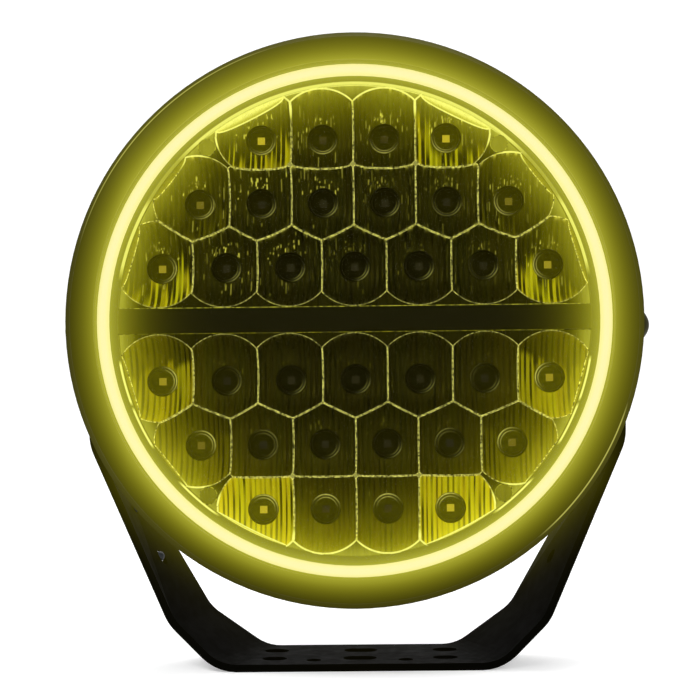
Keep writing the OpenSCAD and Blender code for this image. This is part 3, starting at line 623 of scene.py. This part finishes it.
# Domed hex bolts, read from their node's points, and plugs in the bracket's legs,
# by place across and height of their middles
BOLT_R, BOLT_STEPS = 4.0, 72
DOME, DOME_STEPS = 0.08, 12
PLUGS = ((81.4, 43.8), (90.9, 63.8))
PLUG_R, PLUG_TURNS, PLUG_STEPS = 2.05, 24, 13
POLE = 0.01


def make_bolts(material):
    """Both pivot bolts, with hex heads that are domed on top."""
    points = lamp_points("pivot_bolts")
    tip, top, corner = np.abs(points[:, 0]).min(), points[:, 0].max(), np.abs(points[:, 1]).max()
    seat = np.sort(np.unique(points[:, 0].round(1)))[-2]
    angles = np.arange(BOLT_STEPS) * 2 * math.pi / BOLT_STEPS
    from_flat = np.mod(angles, math.pi / 3) - math.pi / 6
    hexagon = corner * math.cos(math.pi / 6) / np.cos(from_flat)
    whole = np.ones(BOLT_STEPS)
    across = [HUB_R * whole, BOLT_R * whole, BOLT_R * whole, hexagon]
    along = [tip * whole, tip * whole, seat * whole, seat * whole]
    for share in np.linspace(1, POLE, DOME_STEPS):
        across.append(share * hexagon)
        along.append(top - DOME * (share * hexagon) ** 2)
    across, along = np.stack(across, axis=1), np.stack(along, axis=1)
    up, ahead = across * np.sin(angles)[:, None], across * np.cos(angles)[:, None]
    shape = Shape()
    for side in (1, -1):
        ring = np.stack([side * along, up, ahead], axis=-1)
        shape.grid(ring[::side], np.zeros(3), closed=True)
    shape.build("domed_pivot_bolts", UPPER, material, "bolt_black", "pivot_bolts")


def make_plugs(material):
    """Small round plugs that close the holes in the bracket's legs. Their grey colour is a painted glint."""
    turns = np.arange(PLUG_TURNS) * 2 * math.pi / PLUG_TURNS
    tilts = np.linspace(POLE, math.pi - POLE, PLUG_STEPS)
    ball = np.stack([
        np.cos(turns)[:, None] * np.sin(tilts),
        np.sin(turns)[:, None] * np.sin(tilts),
        np.broadcast_to(np.cos(tilts), (PLUG_TURNS, PLUG_STEPS)),
    ], axis=-1)
    shape = Shape("bracket")
    for x, z in PLUGS:
        for side in (1, -1):
            middle = np.array([side * x, 0, z])
            shape.grid(to_lamp((middle + PLUG_R * ball) * MM), np.zeros(3), closed=True)
    shape.build("leg_hole_plugs", UPPER, material, "gland_plastic")


# Bezel: haze behind its front, shade underneath and at both sides, and glints on its edge
BEZEL_FRONT, BEZEL_BACK = (38.0, 42.0), 0.05
UNDER_HEIGHT, UNDER_RADIUS, UNDER_SHADE = (-30.0, -100.0), (103.0, 111.0), 0.55
SIDE_SPAN, SIDE_SHADE = (88.0, 112.0), {1: 0.75, -1: 0.55}
EDGE_INSET, EDGE_LINE, EDGE_GLINT = 1.8, (0.1, 0.35), 0.42
EDGE_TURN, EDGE_FADE = (0.5, 0.95), (0.0, 20.0)
EDGE_LOW, EDGE_LOW_SOFT = (-82.0, -38.0), 4.0

# Housing: the ledge and the tapered bore that the ring lights
LEDGE_Z, LEDGE_SPAN = 17.0, (12.0, 16.0)
BORE_TAPER, BORE_SPAN = 0.254, (97.5, 98.3)

# LED chips: near-black colours that are painted shade, their painted light, and for each row the radius from which
# its end chips are lit, and how much
CHIP_DARK, CHIP_PALE = (0.003, 0.0028, 0.0008, 1), (0.005, 0.0047, 0.0012, 1)
CHIP_COLOUR = (1.0, 0.82, 0.03)
CHIP_SPAN, CHIP_LIGHT = (71.0, 76.5), (0.012, 0.06)
CHIP_HALF, CHIP_SOFT, CHIP_STEP = 3, 0.5, 0.8
END_CHIPS = ((77.4, 0.26), (70.0, 0.1), (77.4, 0.47))

# Bracket: haze by height, side, distance from the lamp's axis and turn towards the front
BRACKET_HEIGHT, BRACKET_HAZE = (-65.0, -35.0), 1.2
BRACKET_ASIDE, BRACKET_RIGHT = (0.0, 60.0), 0.7
BRACKET_RISE, BRACKET_FALL, BRACKET_FAR = (108.0, 115.0), (113.0, 127.0), 0.4
BRACKET_TURN = (-0.04, 0.04)

# Painted highlights on the lip of the trim: a line in short stretches below, and a band along the top
LIP_R, LIP_HALF, LIP_LIGHT = 93.0, 0.5, 0.75
LIP_LOWER, LIP_LOWER_SOFT = ((-32.4, -16.2), (-49.1, -34.3), (-75.5, -63.4)), 1.0
LIP_TOP, LIP_TOP_SOFT, LIP_TOP_LIGHT = (92.5, 93.6), 0.12, 0.6
LIP_TOP_FROM = (60.0, 70.0)
LIP_SIDE, LIP_SIDE_SOFT = (19.0, 47.0), 3.0
LIP_BETWEEN_FROM, LIP_BETWEEN = (16.0, 22.0), 0.3

# Plain coats: dark and light colour, roughness, grain and its depth
COATS = {
    "seal_rubber": ((0.008, 0.008, 0.008), (0.016, 0.016, 0.016), 0.75, 1600, 0.0001),
    "pad_grey": ((0.2, 0.22, 0.26), (0.3, 0.33, 0.37), 0.8, 900, 0.0001),
    "board_green": ((0.01, 0.07, 0.025), (0.015, 0.1, 0.04), 0.4, 900, 0.00005),
    "component_black": ((0.02, 0.02, 0.022), (0.04, 0.04, 0.044), 0.5, 1500, 0.00005),
    # Grey of the leg plugs: a painted glint in the leg holes
    "plug_glint_grey": ((0.045, 0.05, 0.048), (0.07, 0.076, 0.074), 0.4, 1800, 0.00002),
    "gland_plastic": ((0.01, 0.01, 0.01), (0.022, 0.022, 0.022), 0.45, 1800, 0.00006),
}

# Dark pieces: dark and light colour, roughness, share of the ring's haze, gloss and dim light
HAZY = {
    "lens_seal_rubber": ((0.008, 0.008, 0.006), (0.014, 0.014, 0.01), 0.7, 1.0, 0.04, 0.0),
    # The LED board is white; these near-black colours are painted shade
    "board_white": ((0.02, 0.018, 0.006), (0.04, 0.036, 0.01), 0.5, 1.0, 0.04, 0.0),
    "trim_black": ((0.001, 0.001, 0.0003), (0.002, 0.002, 0.0006), 0.3, 1.0, 0.01, 0.007),
    "bolt_black": ((0.003, 0.003, 0.001), (0.006, 0.006, 0.002), 0.4, 0.4, 0.03, 0.0),
}

# Metals: dark and light colour, roughness, and stretch of their drawn lines
METALS = {
    "fastener_steel": ((0.35, 0.35, 0.34), (0.6, 0.6, 0.58), 0.3, (1, 8, 1)),
    "contact_brass": ((0.45, 0.32, 0.12), (0.7, 0.55, 0.25), 0.3, (1, 1, 6)),
}

# Metallised pieces: colour, roughness, streaks along each lamp axis, and their contrast. Their glow is painted
# light of the ring. Their near-black colour is painted: a dark reflection on the bowls and ridges, shade in the
# cups
GLOWING = {
    "reflector_coat": ((0.005, 0.0045, 0.0004), 0.3, (900, 80, 200), 0.07),
    # Ridge beads, whose glow is a painted highlight
    "ridge_highlight_coat": ((0.01, 0.009, 0.003), 0.35, (1100, 1100, 1100), 1.0),
    # LED cups: near black as painted shade, with painted light of the ring
    "cup_shade_and_glow": ((0.001, 0.0009, 0.0001), 0.4, (900, 900, 900), 0.2),
}
STREAK_DARK, STREAK_PALE = 0.6, 1.4
STREAK_SPAN = (0.35, 0.65)

# Lit ring: share of its half width with the middle's colour, cloudiness, and both colours
HALO_CORE, HALO_CLOUDS = 0.3, 0.3
HALO_MIDDLE, HALO_EDGE = (1.0, 0.925, 0.46, 1), (0.98, 0.91, 0.33, 1)

# Grain of the dark plastics, its depth, and the span of noise that roughness follows
FINE_GRAIN, FINE_DEPTH = 2500, 0.00003
NOISE_SPAN = (0.3, 0.7)


class Finish:
    """A procedural material: one Principled shader and the nodes that feed it."""

    def __init__(self, name, **values):
        self.material = bpy.data.materials.new(name)
        self.material.use_nodes = True
        self.tree = self.material.node_tree
        self.shader = self.tree.nodes["Principled BSDF"]
        for socket, value in values.items():
            self.shader.inputs[socket.replace("_", " ")].default_value = value

    def add(self, kind, *inputs, **settings):
        """A node with its settings, its inputs linked or set in order. Gives its first output."""
        node = self.tree.nodes.new(kind)
        for key, value in settings.items():
            setattr(node, key, value)
        for index, value in enumerate(inputs):
            self.feed(node.inputs[index], value)
        return node.outputs[0]

    def feed(self, socket, value):
        """Links a socket to an output, or sets its value."""
        if isinstance(value, bpy.types.NodeSocket):
            self.tree.links.new(value, socket)
        elif value is not None:
            socket.default_value = value

    def set(self, socket, value):
        self.feed(self.shader.inputs[socket], value)

    def emit(self, colour, strength=1.0):
        """Gives the surface light of its own."""
        self.set("Emission Color", colour)
        self.set("Emission Strength", strength)

    def math(self, operation, *inputs):
        return self.add("ShaderNodeMath", *inputs, operation=operation)

    def product(self, first, *others):
        """Values multiplied with each other."""
        for value in others:
            first = self.math("MULTIPLY", first, value)
        return first

    def own(self, kind):
        """The piece's own coordinates, or its own normal."""
        return self.tree.nodes.new("ShaderNodeTexCoord").outputs[kind]

    def part(self, vector, axis):
        """A vector's part along one axis."""
        node = self.tree.nodes.new("ShaderNodeSeparateXYZ")
        self.feed(node.inputs[0], vector)
        return node.outputs[axis]

    def place(self, stretch=(1, 1, 1)):
        """The piece's own coordinates, in metres, stretched along each axis."""
        return self.add("ShaderNodeMapping", self.own("Object"), None, None, stretch)

    def on_lamp(self, stretch=(1, 1, 1)):
        """The same coordinates on the lamp's axes."""
        shift, turn = -(TURN.transposed() @ PIVOT), (REST_TILT - math.pi / 2, 0, 0)
        turned = self.add("ShaderNodeMapping", self.own("Object"), shift, turn)
        return self.add("ShaderNodeMapping", turned, None, None, stretch)

    def radius(self):
        """Distance from the lamp's axis, in mm."""
        flat = self.on_lamp((1 / MM, 1 / MM, 0))
        node = self.tree.nodes.new("ShaderNodeVectorMath")
        node.operation = "LENGTH"
        self.feed(node.inputs[0], flat)
        return node.outputs["Value"]

    def noise(self, scale, detail=3, where=None):
        node = self.tree.nodes.new("ShaderNodeTexNoise")
        node.inputs["Scale"].default_value = scale
        node.inputs["Detail"].default_value = detail
        self.feed(node.inputs["Vector"], where or self.place())
        return node.outputs["Fac"]

    def range(self, value, low, high, to_low=0.0, to_high=1.0):
        return self.add("ShaderNodeMapRange", value, low, high, to_low, to_high)

    def blend(self, share, first, second):
        """A colour between two colours."""
        node = self.tree.nodes.new("ShaderNodeMix")
        node.data_type = "RGBA"
        for index, value in ((0, share), (6, first), (7, second)):
            self.feed(node.inputs[index], value)
        return node.outputs[2]

    def tint(self, strength, colour):
        """A colour scaled by a changing strength."""
        node = self.tree.nodes.new("ShaderNodeVectorMath")
        node.operation = "SCALE"
        self.feed(node.inputs[0], colour)
        self.feed(node.inputs["Scale"], strength)
        return node.outputs[0]

    def bump(self, height, strength, distance):
        node = self.tree.nodes.new("ShaderNodeBump")
        node.inputs["Strength"].default_value = strength
        node.inputs["Distance"].default_value = distance
        self.feed(node.inputs["Height"], height)
        self.set("Normal", node.outputs[0])

    def along_lamp(self, axis):
        """Place along one of the lamp's axes, in mm."""
        return self.part(self.on_lamp((1 / MM, 1 / MM, 1 / MM)), axis)

    def facing(self, axis):
        """How far the surface is turned along one of the row frame's axes."""
        return self.part(self.own("Normal"), axis)

    def haze(self):
        """Strength of the ring's haze at this distance from the lamp's axis."""
        radius = self.radius()
        inwards = self.math("MAXIMUM", self.math("SUBTRACT", halo_in, radius), 0.0)
        outwards = self.math("MAXIMUM", self.math("SUBTRACT", radius, halo_out), 0.0)
        way_in = self.math("DIVIDE", inwards, -REACH_INSIDE)
        way_out = self.math("DIVIDE", outwards, -REACH_OUTSIDE)
        fall = self.math("EXPONENT", self.math("ADD", way_in, way_out))
        return self.product(fall, self.range(radius, halo_in, halo_out, HAZE_INSIDE, HAZE_OUTSIDE))

    def window(self, value, low, high, soft):
        """One inside a span of values and none outside it."""
        above = self.range(value, low - soft, low + soft)
        return self.product(above, self.range(value, high + soft, high - soft))

    def shine(self, strength, pale=None):
        """Lights the surface in the ring's colour at a changing strength, with pale light added."""
        green = self.product(self.math("POWER", strength, GREEN_POWER), GREEN_GAIN)
        blue = self.product(self.math("POWER", strength, BLUE_POWER), BLUE_GAIN)
        colour = self.add("ShaderNodeCombineColor", strength, green, blue)
        if pale:
            colour = self.add("ShaderNodeVectorMath", colour, self.tint(pale, tuple(PALE)), operation="ADD")
        self.emit(colour)


def coated(name, dark, light, roughness, grain, depth, gloss=0.3):
    """A paint, plastic or rubber with cloudy colour, uneven gloss and a fine grain."""
    finish = Finish(name, Specular_IOR_Level=gloss)
    clouds = finish.noise(scale=60, detail=4)
    finish.set("Base Color", finish.blend(clouds, (*dark, 1), (*light, 1)))
    patches = finish.noise(scale=220, detail=3)
    finish.set("Roughness", finish.range(patches, *NOISE_SPAN, roughness - 0.07, roughness + 0.07))
    finish.bump(finish.noise(grain, detail=2), strength=0.25, distance=depth)
    return finish


def metal(name, dark, light, roughness, stretch):
    """A metal with fine drawn lines and dull patches."""
    finish = Finish(name, Metallic=1.0)
    lines = finish.noise(scale=400, detail=4, where=finish.place(stretch))
    finish.set("Base Color", finish.blend(lines, (*dark, 1), (*light, 1)))
    patches = finish.noise(scale=90, detail=3)
    finish.set("Roughness", finish.range(patches, *NOISE_SPAN, roughness - 0.08, roughness + 0.1))
    finish.bump(lines, strength=0.15, distance=0.00005)
    return finish


def dark_plastic(name, dark, light, roughness, gloss):
    """A dark plastic with a very fine grain."""
    return coated(name, dark, light, roughness, FINE_GRAIN, FINE_DEPTH, gloss)


def bezel_plastic():
    """Satin black plastic whose front carries the ring's haze, with glints on two stretches of its edge."""
    finish = dark_plastic("bezel_plastic", (0.001, 0.001, 0.0004), (0.002, 0.002, 0.0008), 0.45, 0.02)
    radius, across, height = finish.radius(), finish.along_lamp("X"), finish.along_lamp("Y")
    front = finish.range(finish.along_lamp("Z"), *BEZEL_FRONT, BEZEL_BACK, 1.0)
    under = finish.product(finish.range(height, *UNDER_HEIGHT), finish.range(radius, *UNDER_RADIUS))
    glow = finish.product(finish.haze(), front, finish.range(under, 0.0, 1.0, 1.0, UNDER_SHADE))
    for side, share in SIDE_SHADE.items():
        glow = finish.product(glow, finish.range(across, *[side * x for x in SIDE_SPAN], 1.0, share))
    from_edge = finish.math("ABSOLUTE", finish.math("SUBTRACT", radius, bezel_out - EDGE_INSET))
    line = finish.range(from_edge, *EDGE_LINE, EDGE_GLINT, 0.0)
    lean = finish.math("DIVIDE", finish.product(across, height), -0.5 * bezel_out**2)
    high = finish.product(finish.range(lean, *EDGE_TURN), finish.range(height, *EDGE_FADE))
    low = finish.window(height, *EDGE_LOW, EDGE_LOW_SOFT)
    low = finish.product(low, finish.range(across, *EDGE_FADE))
    finish.shine(glow, finish.product(line, finish.math("ADD", low, high)))
    return finish.material


def hazy(name, dark, light, roughness, share, gloss, dim):
    """A dark plastic that carries a share of the ring's haze over a dim light."""
    finish = dark_plastic(name, dark, light, roughness, gloss)
    finish.shine(finish.math("ADD", finish.product(finish.haze(), share), dim))
    return finish.material


def trim_ring():
    """The trim inside the ring, whose lip shines all along the top and in short stretches below."""
    finish = dark_plastic("trim_ring", (0.001, 0.001, 0.0005), (0.002, 0.002, 0.001), 0.3, 0.04)
    radius, height = finish.radius(), finish.along_lamp("Y")
    from_lip = finish.math("ABSOLUTE", finish.math("SUBTRACT", radius, LIP_R))
    line = finish.range(from_lip, 0.5 * LIP_HALF, LIP_HALF, LIP_LIGHT, 0.0)
    below = 0.0
    for low, high in LIP_LOWER:
        below = finish.math("MAXIMUM", below, finish.window(height, low, high, LIP_LOWER_SOFT))
    above = finish.range(height, *LIP_TOP_FROM)
    above = finish.math("MAXIMUM", above, finish.window(height, *LIP_SIDE, LIP_SIDE_SOFT))
    above = finish.math("MAXIMUM", above, finish.range(height, *LIP_BETWEEN_FROM, 0.0, LIP_BETWEEN))
    # Painted highlight band along the top of the lip
    band = finish.product(finish.window(radius, *LIP_TOP, LIP_TOP_SOFT), LIP_TOP_LIGHT, above)
    lip = finish.math("ADD", finish.product(line, below), band)
    finish.shine(finish.math("ADD", finish.haze(), lip))
    return finish.material


def housing_coat():
    """Black powder coat, lit by the ring on the tapered wall inside the bore and on its ledge."""
    finish = coated("housing_coat", (0.01, 0.01, 0.01), (0.02, 0.02, 0.02), 0.55, 1100, 0.0002)
    height = finish.along_lamp("Z")
    widening = finish.product(finish.math("SUBTRACT", height, LEDGE_Z), BORE_TAPER)
    bore = finish.range(finish.math("SUBTRACT", finish.radius(), widening), *BORE_SPAN, 1.0, 0.0)
    finish.shine(finish.product(finish.haze(), bore, finish.range(height, *LEDGE_SPAN)))
    return finish.material


def bracket_coat():
    """Black powder coat that catches some of the ring's haze below the lamp, on faces turned to the front."""
    dark, light = (0.0010, 0.0010, 0.0006), (0.0018, 0.0018, 0.0011)
    finish = coated("bracket_coat", dark, light, 0.6, 1400, 0.00012, 0.006)
    radius = finish.radius()
    finish.shine(finish.product(
        finish.haze(),
        finish.range(finish.along_lamp("Y"), *BRACKET_HEIGHT, BRACKET_HAZE, 0.0),
        finish.range(finish.along_lamp("X"), *BRACKET_ASIDE, 1.0, BRACKET_RIGHT),
        finish.range(finish.facing("Y"), *BRACKET_TURN, 1.0, 0.0),
        finish.range(radius, *BRACKET_RISE),
        finish.range(radius, *BRACKET_FALL, 1.0, BRACKET_FAR),
    ))
    return finish.material


def halo_light():
    """Opal light guide, a little cloudy and yellower at its edges."""
    finish = Finish("halo_light", Roughness=0.4, Specular_IOR_Level=0.05)
    finish.set("Base Color", (0.05, 0.045, 0.01, 1))
    middle, half = (halo_in + halo_out) / 2, (halo_out - halo_in) / 2
    from_middle = finish.math("ABSOLUTE", finish.math("SUBTRACT", finish.radius(), middle))
    edge = finish.range(from_middle, half * HALO_CORE, half)
    clouds = finish.product(finish.noise(scale=45, detail=2), HALO_CLOUDS)
    finish.emit(finish.blend(finish.math("ADD", edge, clouds), HALO_MIDDLE, HALO_EDGE))
    finish.bump(finish.noise(scale=900, detail=2), strength=0.1, distance=0.00005)
    return finish.material


def glowing_metal(name, base, roughness, streaks, contrast):
    """Metallised plastic whose painted light of the ring comes from the mesh, broken up by fine streaks. Its
    near-black colour is a painted dark reflection and shade.
    """
    finish = Finish(name, Metallic=0.9, Specular_IOR_Level=0.1, Specular_Tint=(1, 0.9, 0.1, 1))
    fine = finish.noise(scale=1.0, detail=3, where=finish.on_lamp(streaks))
    dark, light = [(*[tone * c for c in base], 1) for tone in (STREAK_DARK, STREAK_PALE)]
    finish.set("Base Color", finish.blend(fine, dark, light))
    finish.set("Roughness", finish.range(fine, *NOISE_SPAN, roughness - 0.08, roughness + 0.08))
    glow = finish.tree.nodes.new("ShaderNodeAttribute")
    glow.attribute_name = "glow"
    share = finish.range(fine, *STREAK_SPAN, 1 - contrast, 1 + contrast)
    finish.emit(finish.tint(share, glow.outputs["Color"]))
    finish.bump(fine, strength=0.2, distance=0.0001)
    return finish.material


def led_phosphor():
    """Yellow LED chips, near black as painted shade, with painted light of the ring that lights them up at the
    ends of the rows, where the ring is near.
    """
    finish = Finish("led_phosphor", Roughness=0.45, Specular_IOR_Level=0.05)
    grain = finish.noise(scale=3000, detail=2)
    finish.set("Base Color", finish.blend(grain, CHIP_DARK, CHIP_PALE))
    radius, height = finish.radius(), finish.math("ABSOLUTE", finish.along_lamp("Y"))
    near = finish.range(radius, *CHIP_SPAN, *CHIP_LIGHT)
    for (*_, row, _), (from_r, light) in zip(ROWS, END_CHIPS):
        at_row = finish.window(height, row - CHIP_HALF, row + CHIP_HALF, CHIP_SOFT)
        lit = finish.product(finish.range(radius, from_r - CHIP_STEP, from_r), at_row, light)
        near = finish.math("ADD", near, lit)
    finish.emit(finish.tint(near, CHIP_COLOUR))
    finish.bump(grain, strength=0.1, distance=0.00003)
    return finish.material


def lens_clear():
    """Clear hard-coated lens."""
    finish = Finish("lens_clear", Alpha=0.015, IOR=1.58)
    finish.set("Base Color", (0.02, 0.02, 0.01, 1))
    finish.set("Roughness", finish.range(finish.noise(scale=300, detail=2), *NOISE_SPAN, 0.02, 0.06))
    return finish.material


def make_materials():
    """Materials by slot, by CAD node or by their own name."""
    materials = {
        "bracket_coat": bracket_coat(),
        "housing_coat": housing_coat(),
        "bezel_plastic": bezel_plastic(),
        "lens_clear": lens_clear(),
        "halo_light": halo_light(),
        "led_yellow": led_phosphor(),
        "inner_trim": trim_ring(),
    }
    for name, values in COATS.items():
        materials[name] = coated(name, *values).material
    for name, values in HAZY.items():
        materials[name] = hazy(name, *values)
    for name, values in METALS.items():
        materials[name] = metal(name, *values).material
    materials["lens_seal"] = materials["lens_seal_rubber"]
    return materials


def dress_nodes(materials):
    """Each CAD node gets the material of its own name, or else of its slot."""
    for part in frame["record"]["subparts"]:
        material = materials.get(part["node"]) or materials.get(part["material_slot"])
        if material:
            slots = frame["nodes"][part["node"]].data.materials
            slots.clear()
            slots.append(material)


# Studio
FLOOR_W, FLOOR_FRONT, FLOOR_BACK, WALL_H, SWEEP_R = 6.0, -3.0, 1.6, 3.0, 0.6
SWEEP_STEPS = 12
FLOOR_COLOUR = (0.85, 0.85, 0.85, 1)
FLOOR_LIFT = 0.35
SKY = 0.45
SEEN_BY = ("Is Camera Ray", "Is Glossy Ray", "Is Transmission Ray")
WHITE = (1, 1, 1, 1)
AIM = Vector((0, 0, 0.12))
LAMPS = (
    ("key", (-0.9, -1.3, 1.5), 1.0, 26),
    ("fill", (1.2, -1.0, 0.9), 1.2, 12),
    ("top", (0.1, 0.5, 1.7), 1.2, 16),
)


def make_floor():
    """A white floor that sweeps up into a backdrop."""
    turns = np.linspace(0, math.pi / 2, SWEEP_STEPS)
    profile = [(FLOOR_FRONT, 0.0)]
    profile += [(FLOOR_BACK + SWEEP_R * math.sin(a), SWEEP_R * (1 - math.cos(a))) for a in turns]
    profile.append((FLOOR_BACK + SWEEP_R, WALL_H))
    points = [(side * FLOOR_W / 2, y, z) for y, z in profile for side in (-1, 1)]
    faces = [(2 * i, 2 * i + 1, 2 * i + 3, 2 * i + 2) for i in range(len(profile) - 1)]
    mesh = bpy.data.meshes.new("studio_floor")
    mesh.from_pydata(points, [], faces)
    mesh.shade_smooth()
    finish = Finish("studio_white", Roughness=0.9, Specular_IOR_Level=0.0)
    finish.set("Base Color", FLOOR_COLOUR)
    path, seen = finish.tree.nodes.new("ShaderNodeLightPath").outputs, 0.0
    for ray in SEEN_BY:
        seen = finish.math("MAXIMUM", seen, path[ray])
    finish.emit(WHITE, finish.product(seen, FLOOR_LIFT))
    mesh.materials.append(finish.material)
    floor = add_object("studio_floor", mesh)


def make_sky():
    """A soft sky that is white where it is seen."""
    world = bpy.data.worlds.new("studio_sky")
    world.use_nodes = True
    tree, level = world.node_tree, None
    path = tree.nodes.new("ShaderNodeLightPath").outputs
    for ray in SEEN_BY:
        brighter = tree.nodes.new("ShaderNodeMath")
        brighter.operation = "MAXIMUM"
        brighter.inputs[1].default_value = SKY
        if level:
            tree.links.new(level, brighter.inputs[1])
        tree.links.new(path[ray], brighter.inputs[0])
        level = brighter.outputs[0]
    sky = tree.nodes["Background"].inputs
    sky["Color"].default_value = WHITE
    tree.links.new(level, sky["Strength"])
    bpy.context.scene.world = world


def make_lamps():
    """Three soft lamps."""
    for name, place, size, power in LAMPS:
        data = bpy.data.lights.new(name, "AREA")
        data.shape = "DISK"
        data.size, data.energy = size, power
        lamp = add_object(name, data)
        lamp.location = place
        lamp.rotation_euler = (AIM - Vector(place)).to_track_quat("-Z", "Y").to_euler()


# Camera, placed round the middle of the bezel on the lamp's axes
VIEW_AZIMUTH = math.radians(1.216)
VIEW_HEIGHT = math.radians(-5.483)
VIEW_ROLL = math.radians(-0.548)
VIEW_GAP = 1000.0
MIDDLE_Z = 36.0
FRAME_PX = 700
PX_PER_MM = 2.556
MIDDLE_PX = (354.44, 319.46)
SENSOR = 36.0


def make_camera():
    """A camera that sees the lamp's middle at its place in the square frame."""
    towards = TURN @ Vector((
        math.sin(VIEW_AZIMUTH) * math.cos(VIEW_HEIGHT),
        math.sin(VIEW_HEIGHT),
        math.cos(VIEW_AZIMUTH) * math.cos(VIEW_HEIGHT),
    ))
    right = (TURN @ Vector((0, 1, 0))).cross(towards).normalized()
    up = towards.cross(right)
    right, up = (
        math.cos(VIEW_ROLL) * right + math.sin(VIEW_ROLL) * up,
        math.cos(VIEW_ROLL) * up - math.sin(VIEW_ROLL) * right,
    )
    middle = Vector(to_row([0, 0, MIDDLE_Z]))
    place = middle + towards * VIEW_GAP * MM
    aside = (MIDDLE_PX[0] - FRAME_PX / 2) / PX_PER_MM * MM
    above = (FRAME_PX / 2 - MIDDLE_PX[1]) / PX_PER_MM * MM
    aim = middle - right * aside - up * above
    back = (place - aim).normalized()
    right = up.cross(back).normalized()
    data = bpy.data.cameras.new("camera")
    data.sensor_width = SENSOR
    data.lens = PX_PER_MM * VIEW_GAP / FRAME_PX * SENSOR
    camera = add_object("camera", data)
    turn = Matrix((right, back.cross(right), back)).transposed()
    camera.matrix_world = Matrix.Translation(place) @ turn.to_4x4()
    bpy.context.scene.camera = camera


make_camera()
materials = make_materials()
dress_nodes(materials)
make_reflectors(*[glowing_metal(name, *values) for name, values in GLOWING.items()])
make_bolts(materials["bolt_black"])
make_plugs(materials["plug_glint_grey"])
make_floor()
make_sky()
make_lamps()
bpy.context.scene.view_settings.view_transform = "Standard"
